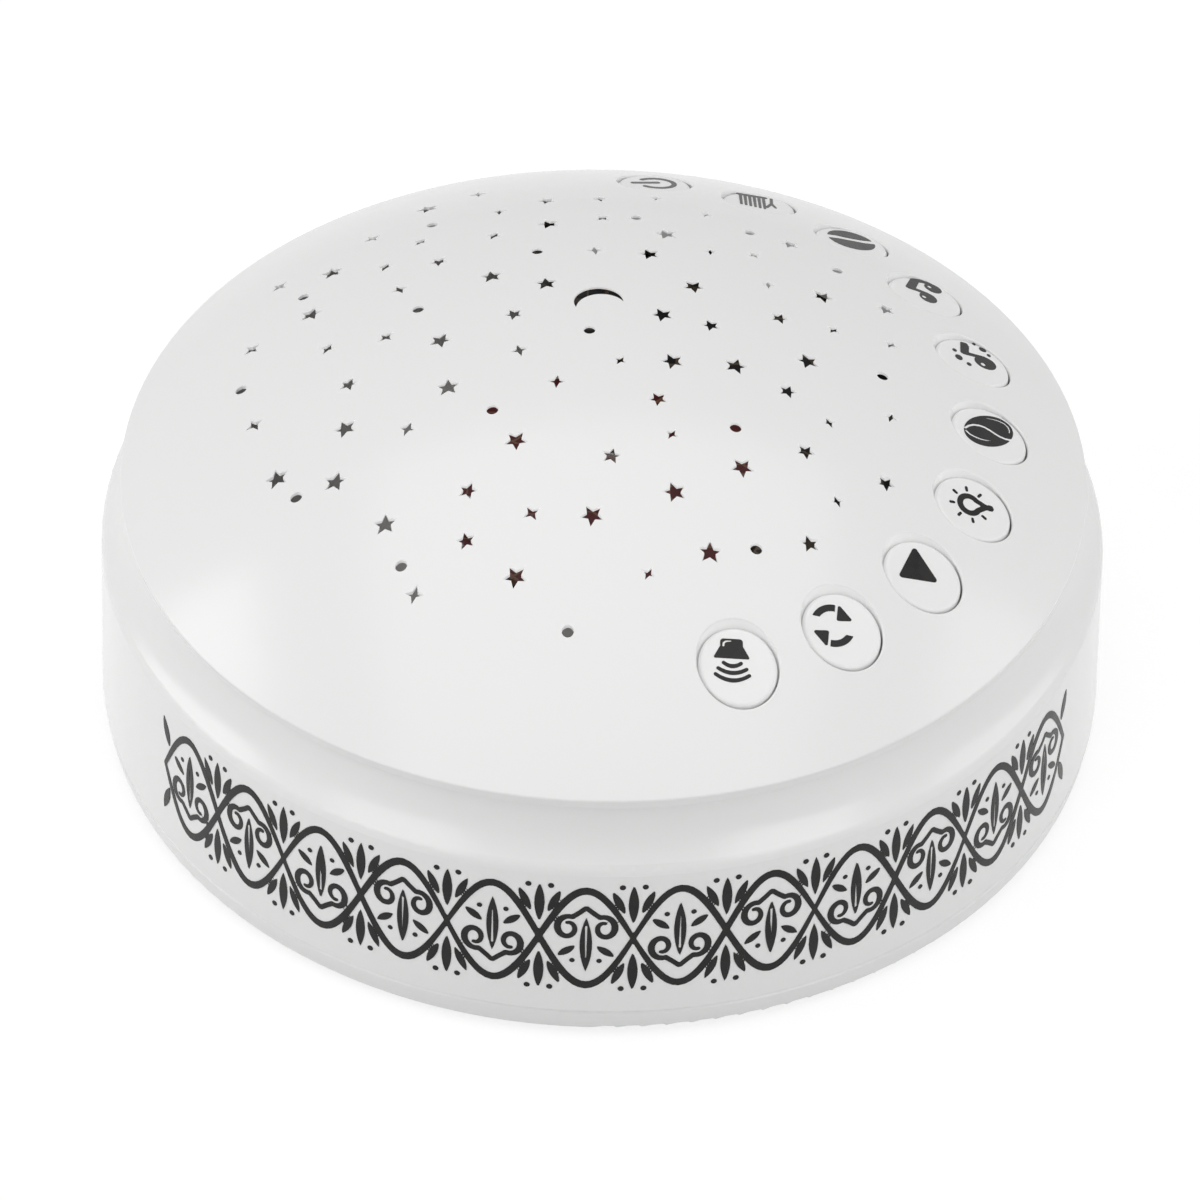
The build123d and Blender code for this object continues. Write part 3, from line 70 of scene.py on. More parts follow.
class StageSettings(bpy.types.PropertyGroup):
    camera_place: bpy.props.FloatVectorProperty(
        name="Camera Place", description="Where the camera stands",
        default=(-0.00017, -0.5967, 0.5550), subtype="TRANSLATION", unit="LENGTH", precision=4)
    camera_tilt: bpy.props.FloatProperty(
        name="Camera Tilt", description="Turn of the camera up from straight down",
        default=radians(47.89), subtype="ANGLE")
    camera_roll: bpy.props.FloatProperty(
        name="Camera Roll", description="Turn of the camera about its own line of sight",
        default=radians(1.22), subtype="ANGLE")
    lens_length: bpy.props.FloatProperty(
        name="Lens", description="Focal length of the camera",
        default=160.94, min=20, subtype="DISTANCE_CAMERA")
    floor_radius: bpy.props.FloatProperty(
        name="Floor Radius", description="Radius of the round floor",
        default=3.0, min=0.5, unit="LENGTH")
    sky_strength: bpy.props.FloatProperty(
        name="Sky Strength", description="Light that comes from all round",
        default=0.27, min=0)
    top_box_power: bpy.props.FloatProperty(
        name="Top Softbox", description="Power of the large softbox overhead",
        default=5.1, min=0, unit="POWER")
    left_box_power: bpy.props.FloatProperty(
        name="Left Softbox", description="Power of the softbox at the left",
        default=2.9, min=0, unit="POWER")
    right_box_power: bpy.props.FloatProperty(
        name="Right Softbox", description="Power of the softbox at the right",
        default=1.75, min=0, unit="POWER")
    front_left_power: bpy.props.FloatProperty(
        name="Front Left Softbox", description="Power of the softbox in front and to the left",
        default=1.5, min=0, unit="POWER")
    front_right_power: bpy.props.FloatProperty(
        name="Front Right Softbox", description="Power of the softbox in front and to the right",
        default=1.9, min=0, unit="POWER")
    seep_power: bpy.props.FloatProperty(
        name="Seeping Light", description="Daylight that seeps through the thin dome into the casing",
        default=0.0034, min=0, unit="POWER")


class PlasticSettings(bpy.types.PropertyGroup):
    casing_colour: bpy.props.FloatVectorProperty(
        name="Casing", description="Colour of the moulded casing",
        default=(0.815, 0.815, 0.812), subtype="COLOR", min=0, max=1)
    key_colour: bpy.props.FloatVectorProperty(
        name="Keys", description="Colour of the key caps",
        default=(0.835, 0.835, 0.832), subtype="COLOR", min=0, max=1)
    gloss_roughness: bpy.props.FloatProperty(
        name="Gloss Roughness", description="Roughness of the glossy outside",
        default=0.2, min=0.05, max=1, subtype="FACTOR")
    grain_size: bpy.props.FloatProperty(
        name="Grain Size", description="Spacing of the mould's fine grain",
        default=0.00035, min=0.00005, unit="LENGTH", precision=5)
    # Strength of a painted glow: emission on the holes' upright edges that stands in for light through the
    # thin plastic
    painted_edge_glow: bpy.props.FloatProperty(
        name="Painted Edge Glow", description="Light that the holes' edges take from the plastic round them",
        default=0.22, min=0, max=1, subtype="FACTOR")


class PrintSettings(bpy.types.PropertyGroup):
    ink_colour: bpy.props.FloatVectorProperty(
        name="Ink", description="Colour of the printed ink",
        default=(0.006, 0.0052, 0.005), subtype="COLOR", min=0, max=1)
    ink_proud: bpy.props.FloatProperty(
        name="Ink Height", description="How far the ink stands above the plastic",
        default=0.00005, min=0.00001, unit="LENGTH", precision=5)
    symbol_lift: bpy.props.FloatProperty(
        name="Symbol Lift", description="How far the symbols sit above the middle of their caps",
        default=0.00018, unit="LENGTH", precision=5)
    symbol_height: bpy.props.FloatProperty(
        name="Symbol Height", description="Height of the symbols, against their drawings",
        default=1.03, min=0.5, max=1.5, subtype="FACTOR")
    band_start: bpy.props.FloatProperty(
        name="Band Start", description="Bearing at which the ornament starts, from +X",
        default=radians(-147.2), subtype="ANGLE")
    band_end: bpy.props.FloatProperty(
        name="Band End", description="Bearing at which the ornament ends, from +X",
        default=radians(-24.4), subtype="ANGLE")
    band_low: bpy.props.FloatProperty(
        name="Band Foot", description="Lower edge of the ornament above the table",
        default=0.009, unit="LENGTH")
    band_high: bpy.props.FloatProperty(
        name="Band Head", description="Upper edge of the ornament above the table",
        default=0.0298, unit="LENGTH")
    band_repeats: bpy.props.IntProperty(
        name="Repeats", description="Waves of the ornament's stems from end to end",
        default=6, min=1, max=12)


class InsideSettings(bpy.types.PropertyGroup):
    lamp_board_colour: bpy.props.FloatVectorProperty(
        name="Lamp Board", description="Solder mask of the board that carries the emitters",
        default=(0.14, 0.01, 0.013), subtype="COLOR", min=0, max=1)
    key_board_colour: bpy.props.FloatVectorProperty(
        name="Key Board", description="Solder mask of the board under the keys",
        default=(0.012, 0.012, 0.014), subtype="COLOR", min=0, max=1)
    power_board_colour: bpy.props.FloatVectorProperty(
        name="Power Board", description="Solder mask of the board at the socket",
        default=(0.012, 0.11, 0.045), subtype="COLOR", min=0, max=1)
    cell_colour: bpy.props.FloatVectorProperty(
        name="Cell Sleeve", description="Shrink sleeve round the battery cell",
        default=(0.03, 0.12, 0.36), subtype="COLOR", min=0, max=1)


# Shader nodes


def add_node(tree, kind, inputs=None, **settings):
    """A node whose settings and input sockets are given, as values or as sockets to link."""
    new = tree.nodes.new(kind)
    new.location = (NODE_SPACING * len(tree.nodes), 0)
    for name, value in settings.items():
        setattr(new, name, value)
    for key, value in (inputs or {}).items():
        if isinstance(value, bpy.types.NodeSocket):
            tree.links.new(value, new.inputs[key])
        else:
            new.inputs[key].default_value = value
    return new


def maths(tree, operation, first, second=0.0, clamp=False):
    node = add_node(tree, "ShaderNodeMath", {0: first, 1: second}, operation=operation, use_clamp=clamp)
    return node.outputs[0]


def stretch(tree, value, low, high, new_low, new_high):
    """Value moved from one range to another, and held inside the new one."""
    node = add_node(tree, "ShaderNodeMapRange", {
        "Value": value, "From Min": low, "From Max": high, "To Min": new_low, "To Max": new_high})
    return node.outputs["Result"]


def blend_colours(tree, share, first, second, way="MIX"):
    node = add_node(tree, "ShaderNodeMix", {0: share, 6: first, 7: second},
                    data_type="RGBA", blend_type=way)
    return node.outputs[2]


def noise(tree, place, scale, detail=2.0):
    node = add_node(tree, "ShaderNodeTexNoise", {"Vector": place, "Scale": scale, "Detail": detail})
    return node.outputs["Fac"]


def new_group(name, inputs, outputs):
    """A shader node group with these sockets, and its two end nodes."""
    group = bpy.data.node_groups.new(name, "ShaderNodeTree")
    for label, kind, default in inputs:
        socket = group.interface.new_socket(name=label, in_out="INPUT", socket_type="NodeSocket" + kind)
        socket.default_value = default
    for label, kind in outputs:
        group.interface.new_socket(name=label, in_out="OUTPUT", socket_type="NodeSocket" + kind)
    return group, add_node(group, "NodeGroupInput"), add_node(group, "NodeGroupOutput")


def close_group(group, end, **sockets):
    for label, socket in sockets.items():
        group.links.new(socket, end.inputs[label])
    return group


def moulded_surface():
    """Moulded plastic: a slow drift of tint, a fine grain, and handling marks in the gloss."""
    group, start, end = new_group(
        "Moulded Surface",
        [("Colour", "Color", (0.8, 0.8, 0.8, 1)), ("Drift", "Float", 0.03),
         ("Grain Scale", "Float", 2800.0), ("Roughness", "Float", 0.3), ("Marks", "Float", 0.06)],
        [("Colour", "Color"), ("Roughness", "Float"), ("Height", "Float")])
    place = add_node(group, "ShaderNodeTexCoord").outputs["Object"]
    slow = noise(group, place, 24.0, 3.0)
    shade = maths(group, "MULTIPLY_ADD", maths(group, "SUBTRACT", slow, 0.5), start.outputs["Drift"])
    shade.node.inputs[2].default_value = 1.0
    tint = add_node(group, "ShaderNodeCombineColor", {0: shade, 1: shade, 2: shade}).outputs[0]
    colour = blend_colours(group, 1.0, start.outputs["Colour"], tint, "MULTIPLY")
    smudge = stretch(group, noise(group, place, 60.0, 2.0), 0.3, 0.75, 0.0, 1.0)
    rough = maths(group, "MULTIPLY_ADD", smudge, start.outputs["Marks"])
    group.links.new(start.outputs["Roughness"], rough.node.inputs[2])
    grain = noise(group, place, start.outputs["Grain Scale"], 2.0)
    return close_group(group, end, Colour=colour, Roughness=rough, Height=grain)


def painted_glow_edges():
    """Mask for a painted glow: the upright sides of holes, fully near the middle, less towards the end of
    the reach.
    """
    group, start, end = new_group("Painted Glow Edges", [("Reach", "Float", 0.04)], [("Mask", "Float")])
    steepest, flattest = 0.1, 0.4
    fade_start, least_glow = 0.72, 0.35
    slope = add_node(group, "ShaderNodeSeparateXYZ", {
        0: add_node(group, "ShaderNodeNewGeometry").outputs["True Normal"]}).outputs["Z"]
    steep = stretch(group, maths(group, "ABSOLUTE", slope), steepest, flattest, 1.0, 0.0)
    place = add_node(group, "ShaderNodeSeparateXYZ", {
        0: add_node(group, "ShaderNodeTexCoord").outputs["Object"]}).outputs
    radius = maths(group, "SQRT", maths(group, "ADD", maths(group, "POWER", place["X"], 2.0),
                                        maths(group, "POWER", place["Y"], 2.0)))
    inside = maths(group, "LESS_THAN", radius, start.outputs["Reach"])
    near = stretch(group, maths(group, "DIVIDE", radius, start.outputs["Reach"]),
                   fade_start, 1.0, 1.0, least_glow)
    share = maths(group, "MULTIPLY", inside, near)
    return close_group(group, end, Mask=maths(group, "MULTIPLY", steep, share))


def drawn_metal():
    """Plated metal with marks that run one way and dull spots."""
    group, start, end = new_group(
        "Drawn Metal",
        [("Colour", "Color", (0.6, 0.6, 0.62, 1)), ("Run", "Vector", (40.0, 40.0, 900.0)),
         ("Roughness", "Float", 0.3), ("Tarnish", "Float", 0.25)],
        [("Colour", "Color"), ("Roughness", "Float"), ("Height", "Float")])
    place = add_node(group, "ShaderNodeTexCoord").outputs["Object"]
    along = add_node(group, "ShaderNodeVectorMath", {0: place, 1: start.outputs["Run"]},
                     operation="MULTIPLY")
    marks = noise(group, along.outputs[0], 6.0, 3.0)
    spots = stretch(group, noise(group, place, 420.0, 4.0), 0.5, 0.72, 0.0, 1.0)
    dull = maths(group, "MULTIPLY", spots, start.outputs["Tarnish"])
    colour = blend_colours(group, dull, start.outputs["Colour"], (0.16, 0.15, 0.14, 1))
    rough = maths(group, "ADD", start.outputs["Roughness"],
                  maths(group, "MULTIPLY", maths(group, "ADD", marks, dull), 0.16), clamp=True)
    return close_group(group, end, Colour=colour, Roughness=rough, Height=marks)


def etched_board():
    """A circuit board: copper tracks that show through the solder mask, and tinned pads."""
    group, start, end = new_group(
        "Etched Board",
        [("Mask", "Color", (0.02, 0.1, 0.05, 1)), ("Track Scale", "Float", 320.0),
         ("Pad Scale", "Float", 190.0)],
        [("Colour", "Color"), ("Roughness", "Float"), ("Metal", "Float"), ("Height", "Float")])
    place = add_node(group, "ShaderNodeTexCoord").outputs["Object"]
    nearest, second = [add_node(group, "ShaderNodeTexVoronoi", {
        "Vector": place, "Scale": start.outputs["Track Scale"], "Randomness": 0.75},
        feature=feature, distance="CHEBYCHEV").outputs["Distance"] for feature in ("F1", "F2")]
    track = stretch(group, maths(group, "SUBTRACT", second, nearest), 0.06, 0.12, 1.0, 0.0)
    spot = add_node(group, "ShaderNodeTexVoronoi", {
        "Vector": place, "Scale": start.outputs["Pad Scale"], "Randomness": 0.35}, feature="F1")
    pad = stretch(group, spot.outputs["Distance"], 0.16, 0.2, 1.0, 0.0)
    copper, tin = (0.5, 0.36, 0.2, 1), (0.62, 0.62, 0.6, 1)
    lit = blend_colours(group, maths(group, "MULTIPLY", track, 0.35), start.outputs["Mask"], copper)
    colour = blend_colours(group, pad, lit, tin)
    rough = maths(group, "ADD", 0.38, maths(group, "MULTIPLY", noise(group, place, 900.0), 0.12))
    height = maths(group, "ADD", maths(group, "MULTIPLY", track, 0.4), pad)
    return close_group(group, end, Colour=colour, Roughness=rough, Metal=pad, Height=height)


def soft_grain():
    """Rubber, foam, paper or insulation: a mottled tint and a grain of pores or fibres."""
    group, start, end = new_group(
        "Soft Grain",
        [("Colour", "Color", (0.1, 0.1, 0.1, 1)), ("Pale Colour", "Color", (0.2, 0.2, 0.2, 1)),
         ("Mottle Scale", "Float", 160.0), ("Pore Scale", "Float", 1600.0), ("Roughness", "Float", 0.7)],
        [("Colour", "Color"), ("Roughness", "Float"), ("Height", "Float")])
    place = add_node(group, "ShaderNodeTexCoord").outputs["Object"]
    mottle = stretch(group, noise(group, place, start.outputs["Mottle Scale"], 4.0), 0.4, 0.7, 0.0, 1.0)
    pores = add_node(group, "ShaderNodeTexVoronoi", {"Vector": place, "Scale": start.outputs["Pore Scale"]})
    colour = blend_colours(group, mottle, start.outputs["Colour"], start.outputs["Pale Colour"])
    rough = maths(group, "ADD", start.outputs["Roughness"],
                  maths(group, "MULTIPLY", mottle, 0.1), clamp=True)
    return close_group(group, end, Colour=colour, Roughness=rough, Height=pores.outputs["Distance"])


GROUPS = {"Moulded Surface": moulded_surface, "Painted Glow Edges": painted_glow_edges, "Drawn Metal": drawn_metal,
          "Etched Board": etched_board, "Soft Grain": soft_grain}


def shared_group(name):
    return bpy.data.node_groups.get(name) or GROUPS[name]()


def finish(name, group_name, values, bump, shader=None):
    """A material dressed by a shared group. Bump is the strength and height of its relief."""
    found = bpy.data.materials.get("finish_" + name)
    if found:
        return found
    material = bpy.data.materials.new("finish_" + name)
    material.use_nodes = True
    tree = material.node_tree
    tree.nodes.clear()
    group = add_node(tree, "ShaderNodeGroup", node_tree=shared_group(group_name))
    for label, value in values.items():
        group.inputs[label].default_value = value
    relief = add_node(tree, "ShaderNodeBump", {
        "Strength": bump[0], "Distance": bump[1], "Height": group.outputs["Height"]})
    inputs = {"Base Color": group.outputs["Colour"], "Roughness": group.outputs["Roughness"],
              "Normal": relief.outputs["Normal"]}
    if "Metal" in group.outputs:
        inputs["Metallic"] = group.outputs["Metal"]
    surface = add_node(tree, "ShaderNodeBsdfPrincipled", {**inputs, **(shader or {})})
    add_node(tree, "ShaderNodeOutputMaterial", {"Surface": surface.outputs[0]})
    return material


def opaque(colour):
    return (*colour[:3], 1.0)


def casing_plastic(name, colour, roughness):
    settings = bpy.context.scene.plastic_settings
    return finish(name, "Moulded Surface", {
        "Colour": opaque(colour), "Drift": 0.0, "Grain Scale": 1.0 / settings.grain_size,
        "Roughness": roughness, "Marks": 0.0}, (0.2, 0.00001), {"IOR": 1.49})


def add_painted_glow(material, reach, strength):
    """Paints a glow on the upright edges of the holes near the middle: emission that stands in for light
    passing through the plastic round them.
    """
    tree = material.node_tree
    edges = add_node(tree, "ShaderNodeGroup", {"Reach": reach}, node_tree=shared_group("Painted Glow Edges"))
    surface = next(node for node in tree.nodes if node.type == "BSDF_PRINCIPLED")
    # Painted glow: the masked hole edges emit light, though they are no lamp
    surface.inputs["Emission Strength"].default_value = strength
    tree.links.new(edges.outputs["Mask"], surface.inputs["Emission Color"])
    return material


def matt_plastic(name, colour, roughness=0.55, drift=0.08):
    return finish(name, "Moulded Surface", {
        "Colour": opaque(colour), "Drift": drift, "Grain Scale": 2200.0,
        "Roughness": roughness, "Marks": 0.1}, (0.5, 0.00005))


def plated(name, colour, roughness, run, tarnish):
    return finish(name, "Drawn Metal", {
        "Colour": opaque(colour), "Run": run, "Roughness": roughness, "Tarnish": tarnish},
        (0.3, 0.00003), {"Metallic": 1.0})


def board(name, colour):
    return finish(name, "Etched Board", {"Mask": opaque(colour)}, (0.6, 0.00006), {"Coat Weight": 0.3})


def soft(name, colour, pale, pores, roughness, bump):
    return finish(name, "Soft Grain", {
        "Colour": opaque(colour), "Pale Colour": opaque(pale), "Pore Scale": pores,
        "Roughness": roughness}, bump)


def add_object(name, data):
    new = bpy.data.objects.new(name, data)
    bpy.context.scene.collection.objects.link(new)
    return new


def dress(material, *nodes):
    """Gives CAD nodes a finish in place of the plain one they came with."""
    for name in nodes:
        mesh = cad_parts[name].data
        mesh.materials.clear()
        mesh.materials.append(material)


# Prints: drawings kept as distances to the ink's edge, then made into thin solids


def nearest_on_run(x, y, start, run):
    """The share of a straight run that is nearest to each point, and the distance to it."""
    share = ((x - start[0]) * run[0] + (y - start[1]) * run[1]) / max(run[0]**2 + run[1]**2, 1e-9)
    share = np.clip(share, 0, 1)
    return share, np.hypot(x - start[0] - share * run[0], y - start[1] - share * run[1])


class Ink:
    """A drawing on a flat grid, in millimetres. Its field is negative inside the ink."""

    def __init__(self, low, high, step):
        self.across = np.arange(low[0], high[0] + step, step)
        self.up = np.arange(low[1], high[1] + step, step)
        self.field = np.full((len(self.across), len(self.up)), INK_FREE)

    def window(self, low, high):
        """The part of the grid round a shape, as slices and as coordinates."""
        rows = slice(*np.searchsorted(self.across, (low[0] - INK_REACH, high[0] + INK_REACH)))
        columns = slice(*np.searchsorted(self.up, (low[1] - INK_REACH, high[1] + INK_REACH)))
        x, y = np.meshgrid(self.across[rows], self.up[columns], indexing="ij")
        return (rows, columns), x, y

    def put(self, where, distance, cut):
        if cut:
            self.field[where] = np.maximum(self.field[where], -distance)
        else:
            self.field[where] = np.minimum(self.field[where], distance)

    def oval(self, centre, half_length, half_width, turn=0.0, cut=False):
        where, x, y = self.window((centre[0] - half_length, centre[1] - half_length),
                                  (centre[0] + half_length, centre[1] + half_length))
        along = (x - centre[0]) * cos(radians(turn)) + (y - centre[1]) * sin(radians(turn))
        across = (y - centre[1]) * cos(radians(turn)) - (x - centre[0]) * sin(radians(turn))
        distance = (np.hypot(along / half_length, across / half_width) - 1) * min(half_length, half_width)
        self.put(where, distance, cut)

    def disc(self, centre, radius, cut=False):
        self.oval(centre, radius, radius, 0.0, cut)

    def line(self, points, widths, cut=False):
        """A stroke with round ends through points. Widths run evenly from the first to the last."""
        shares = np.linspace(0, 1, len(points))
        sizes = np.interp(shares, np.linspace(0, 1, len(widths)), widths) / 2
        for (x0, y0), (x1, y1), size0, size1 in zip(points, points[1:], sizes, sizes[1:]):
            reach = max(size0, size1)
            where, x, y = self.window((min(x0, x1) - reach, min(y0, y1) - reach),
                                      (max(x0, x1) + reach, max(y0, y1) + reach))
            share, distance = nearest_on_run(x, y, (x0, y0), (x1 - x0, y1 - y0))
            self.put(where, distance - (size0 + (size1 - size0) * share), cut)

    def outline(self, corners, rounding=0.0, cut=False):
        """A convex outline, its corners given counter-clockwise and rounded."""
        corners = np.array(corners, float)
        where, x, y = self.window(corners.min(0), corners.max(0))
        edges = np.roll(corners, -1, 0) - corners
        normals = np.stack([edges[:, 1], -edges[:, 0]], 1) / np.linalg.norm(edges, axis=1)[:, None]
        reaches = (normals * corners).sum(1) - rounding
        inner = [np.linalg.solve([normals[i - 1], normals[i]], [reaches[i - 1], reaches[i]])
                 for i in range(len(corners))]
        inside = np.max([x * n[0] + y * n[1] - r for n, r in zip(normals, reaches)], axis=0)
        outside = np.min([nearest_on_run(x, y, start, stop - start)[1]
                          for start, stop in zip(inner, inner[1:] + inner[:1])], axis=0)
        self.put(where, np.where(inside > 0, outside, inside) - rounding, cut)

    def leaf(self, root, tip, width, rib=0.0):
        """A pointed leaf, with a slit along its rib where rib is the slit's width."""
        run = Vector(tip) - Vector(root)
        middle = (Vector(root) + Vector(tip)) / 2
        side = Vector((-run.y, run.x)).normalized()
        radius = (run.length**2 + width**2) / (4 * width)
        where, x, y = self.window([min(a, b) - width / 2 for a, b in zip(root, tip)],
                                  [max(a, b) + width / 2 for a, b in zip(root, tip)])
        shift = side * (radius - width / 2)
        halves = [np.hypot(x - middle.x - sign * shift.x, y - middle.y - sign * shift.y) - radius
                  for sign in (1, -1)]
        self.put(where, np.maximum(*halves), False)
        if rib:
            rib_start, rib_end = 0.16, 0.74
            self.line([Vector(root) + run * rib_start, Vector(root) + run * rib_end],
                      [rib, rib / 2], cut=True)


def inked_cells(ink):
    """Corner points and polygons that cover the inked area, its edge cut cleanly through the cells."""
    least_cut = 0.03
    inked = ink.field < 0
    points, numbers, polygons = [], {}, []

    def number(key, point):
        if key not in numbers:
            numbers[key] = len(points)
            points.append(point)
        return numbers[key]

    touched = inked[:-1, :-1] | inked[1:, :-1] | inked[1:, 1:] | inked[:-1, 1:]
    for i, j in np.argwhere(touched).tolist():
        corners = ((i, j), (i + 1, j), (i + 1, j + 1), (i, j + 1))
        polygon = []
        for here, there in zip(corners, corners[1:] + corners[:1]):
            place = (ink.across[here[0]], ink.up[here[1]])
            if inked[here]:
                polygon.append(number(here, place))
            if inked[here] != inked[there]:
                share = ink.field[here] / (ink.field[here] - ink.field[there])
                share = min(max(share, least_cut), 1 - least_cut)
                point = (place[0] + share * (ink.across[there[0]] - place[0]),
                         place[1] + share * (ink.up[there[1]] - place[1]))
                polygon.append(number(tuple(sorted((here, there))), point))
        if len(polygon) > 2:
            polygons.append(polygon)
    return points, polygons


def ink_piece(name, ink, place, body):
    """A closed thin solid of ink. Place gives the point at (across, up, height above the surface)."""
    settings = bpy.context.scene.print_settings
    points, polygons = inked_cells(ink)
    if not polygons:
        raise RuntimeError(f"the drawing of {name} is empty")
    count = len(points)
    heights = (settings.ink_proud, -INK_DEPTH * settings.ink_proud)
    vertices = [place(x, y, height) for height in heights for x, y in points]
    edges = {(a, b) for polygon in polygons for a, b in zip(polygon, polygon[1:] + polygon[:1])}
    sides = [(b, a, a + count, b + count) for a, b in sorted(edges) if (b, a) not in edges]
    floors = [[corner + count for corner in reversed(polygon)] for polygon in polygons]
    mesh = bpy.data.meshes.new(name)
    mesh.from_pydata(vertices, [], polygons + floors + sides)
    mesh.validate()
    mesh.materials.append(ink_film())
    piece = add_object(name, mesh)
    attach(piece, body)


def ink_film():
    """Near-black ink with a slight sheen and a thin, uneven lay."""
    colour = bpy.context.scene.print_settings.ink_colour
    pale = tuple(1.6 * part + 0.002 for part in colour)
    return finish("print_ink", "Soft Grain", {
        "Colour": opaque(colour), "Pale Colour": opaque(pale), "Mottle Scale": 420.0,
        "Pore Scale": 5200.0, "Roughness": 0.24}, (0.2, 0.00001), {"IOR": 1.32})


def arch(middle, half_width, height, sag):
    """Points along a curve that hangs by sag between two level ends."""
    shares = [step / 5 for step in range(-5, 6)]
    return [(middle + half_width * share, height - sag * (1 - share**2)) for share in shares]


def bow(centre, radius, angles):
    """Points round a centre at angles in degrees."""
    return [(centre[0] + radius * cos(radians(angle)), centre[1] + radius * sin(radians(angle)))
            for angle in angles]


def laid(points, centre, turn):
    """Points drawn round (0, 0), turned by a number of degrees and moved to a centre."""
    c, s = cos(radians(turn)), sin(radians(turn))
    return [(centre[0] + c * x - s * y, centre[1] + s * x + c * y) for x, y in points]


def draw_sound(ink):
    """A bell-shaped sounder over three waves."""
    centre, turn = (-0.95, 0.7), 4.5
    flare = [(-2.62, 0), (2.62, 0), (1.5, 2.0), (-1.5, 2.0)]
    crown = [(-1.6, 1.2), (1.6, 1.2), (1.6, 2.9), (-1.6, 2.9)]
    glint = [(-1.15, 1.85), (-1.1, 2.25), (-0.8, 2.5), (-0.05, 2.58)]
    ink.outline(laid(flare, centre, turn), 0.18)
    ink.outline(laid(crown, centre, turn), 0.5)
    ink.line(laid(glint, centre, turn), [0.3, 0.3, 0.14], cut=True)
    for half_width, height, sag in ((1.23, -0.66, 0.46), (2.0, -1.5, 0.62), (2.37, -2.4, 0.82)):
        ink.line(laid(arch(0.09, half_width, height, sag), centre, turn), [0.52, 0.62, 0.52])


def draw_repeat(ink):
    """Two arrows that chase each other round a ring."""
    centre = (-1.32, 0.05)
    tail_gap = [(-4, -1.2), (-1, -1.2), (-1, 0.95), (-4, 0.95)]
    slit = [(0.08, 1.9), (1, 1.9), (1, 3.5), (0.08, 3.5)]
    head = [(0.46, 0.9), (0.95, 0.95), (2.86, 1.34), (0.46, 3.5)]
    for turn in (0, 180):
        ink.line(bow(centre, 2.72, range(84 + turn, 169 + turn, 4)), [1.0, 1.0])
    for turn in (0, 180):
        ink.outline(laid(tail_gap, centre, turn), cut=True)
        ink.outline(laid(slit, centre, turn), cut=True)
    for turn in (0, 180):
        ink.outline(laid(head, centre, turn), 0.24)


def draw_play(ink):
    """A triangle with rounded corners."""
    ink.outline([(-1.56, 4.16), (-3.58, -1.7), (2.62, -0.78)], 0.42)


def draw_lamp(ink):
    """A lamp bulb on its side, with rays."""
    bulb = (-0.48, 0.17)
    first_ray, ray_spacing, ray_near, ray_far = 55.9, 45.4, 2.5, 3.02
    ink.disc(bulb, 1.95)
    ink.line([(0.55, 0.38), (2.15, 0.68)], [2.9, 1.0])
    ink.disc((-0.45, 0.19), 1.05, cut=True)
    ink.line([(-0.35, 0.2), (1.05, 0.52)], [2.0, 0.4], cut=True)
    ink.outline([(2.5, 0.2), (3.2, 0.32), (3.42, 0.72), (3.15, 1.3), (2.42, 1.28)], 0.14)
    for count in range(7):
        angle = [first_ray + ray_spacing * count]
        ink.line(bow(bulb, ray_near, angle) + bow(bulb, ray_far, angle), [0.42, 0.46])


def draw_bean(ink):
    """A bean split by an S line."""
    ink.oval((-0.03, 0.5), 4.6, 2.9, 37.0)
    ink.line([(-3.85, -0.6), (-3.3, 0.1), (-2.5, 0.68), (-1.6, 0.98), (-0.67, 1.02), (0.2, 0.78),
              (1.1, 0.4), (1.9, 0.18), (2.7, 0.12), (3.4, 0.26), (4.0, 0.5)],
             [0.34, 0.42, 0.4], cut=True)
    ink.line([(-3.75, -1.2), (-3.2, -1.62), (-2.4, -1.82), (-1.4, -1.86), (-0.5, -1.7), (0.3, -1.42)],
             [0.36, 0.3, 0.1], cut=True)
    ink.line([(-0.35, 3.12), (0.7, 3.42), (1.8, 3.52), (2.7, 3.36), (3.25, 2.9), (3.45, 2.3), (3.42, 1.75)],
             [0.1, 0.22, 0.26, 0.16], cut=True)


def draw_chime(ink):
    """A note among drops."""
    ink.outline([(-1.5, 4.25), (-1.75, 1.35), (-0.4, 1.3), (-0.1, 3.7), (-0.45, 4.4)], 0.28)
    ink.line([(-1.2, 1.65), (0.4, 1.85), (2.2, 2.2)], [0.8, 0.7, 0.6])
    ink.oval((2.33, 0.9), 1.8, 1.5, 8.0)
    ink.disc((1.9, 0.3), 0.38, cut=True)
    for x, y, radius in ((0.83, 4.93, 0.3), (3.13, 3.27, 0.33), (-2.7, 1.43, 0.37), (-2.13, -0.1, 0.62),
                         (-0.53, -0.97, 0.4)):
        ink.disc((x, y), radius)
    ink.oval((2.2, 4.23), 0.62, 0.48, -8.0)


def draw_music(ink):
    """Two notes under one beam, lying on their side."""
    ink.outline([(-2.95, 1.15), (-1.3, 1.15), (-0.15, 4.6), (-0.5, 5.1), (-1.6, 4.7)], 0.3)
    ink.line([(-0.9, 4.5), (0.2, 4.85), (1.2, 4.85), (2.2, 4.5)], [1.0, 0.85, 0.8])
    ink.oval((1.95, 3.65), 1.42, 1.28)
    ink.disc((1.4, 3.8), 0.34, cut=True)
    ink.line([(-2.2, 1.35), (-0.8, 1.4), (0.7, 1.1)], [0.7, 0.75, 0.8])
    ink.oval((0.7, -0.05), 1.42, 1.45)
    ink.disc((0.0, -0.2), 0.36, cut=True)


def draw_leaf(ink):
    """A round leaf in two halves."""
    ink.oval((0.25, 1.15), 3.9, 3.35, 20.0)
    ink.line([(-4.2, 0.4), (-2.0, 1.1), (0.0, 1.35), (2.2, 1.75), (4.4, 2.6)], [1.25, 0.9, 1.1], cut=True)


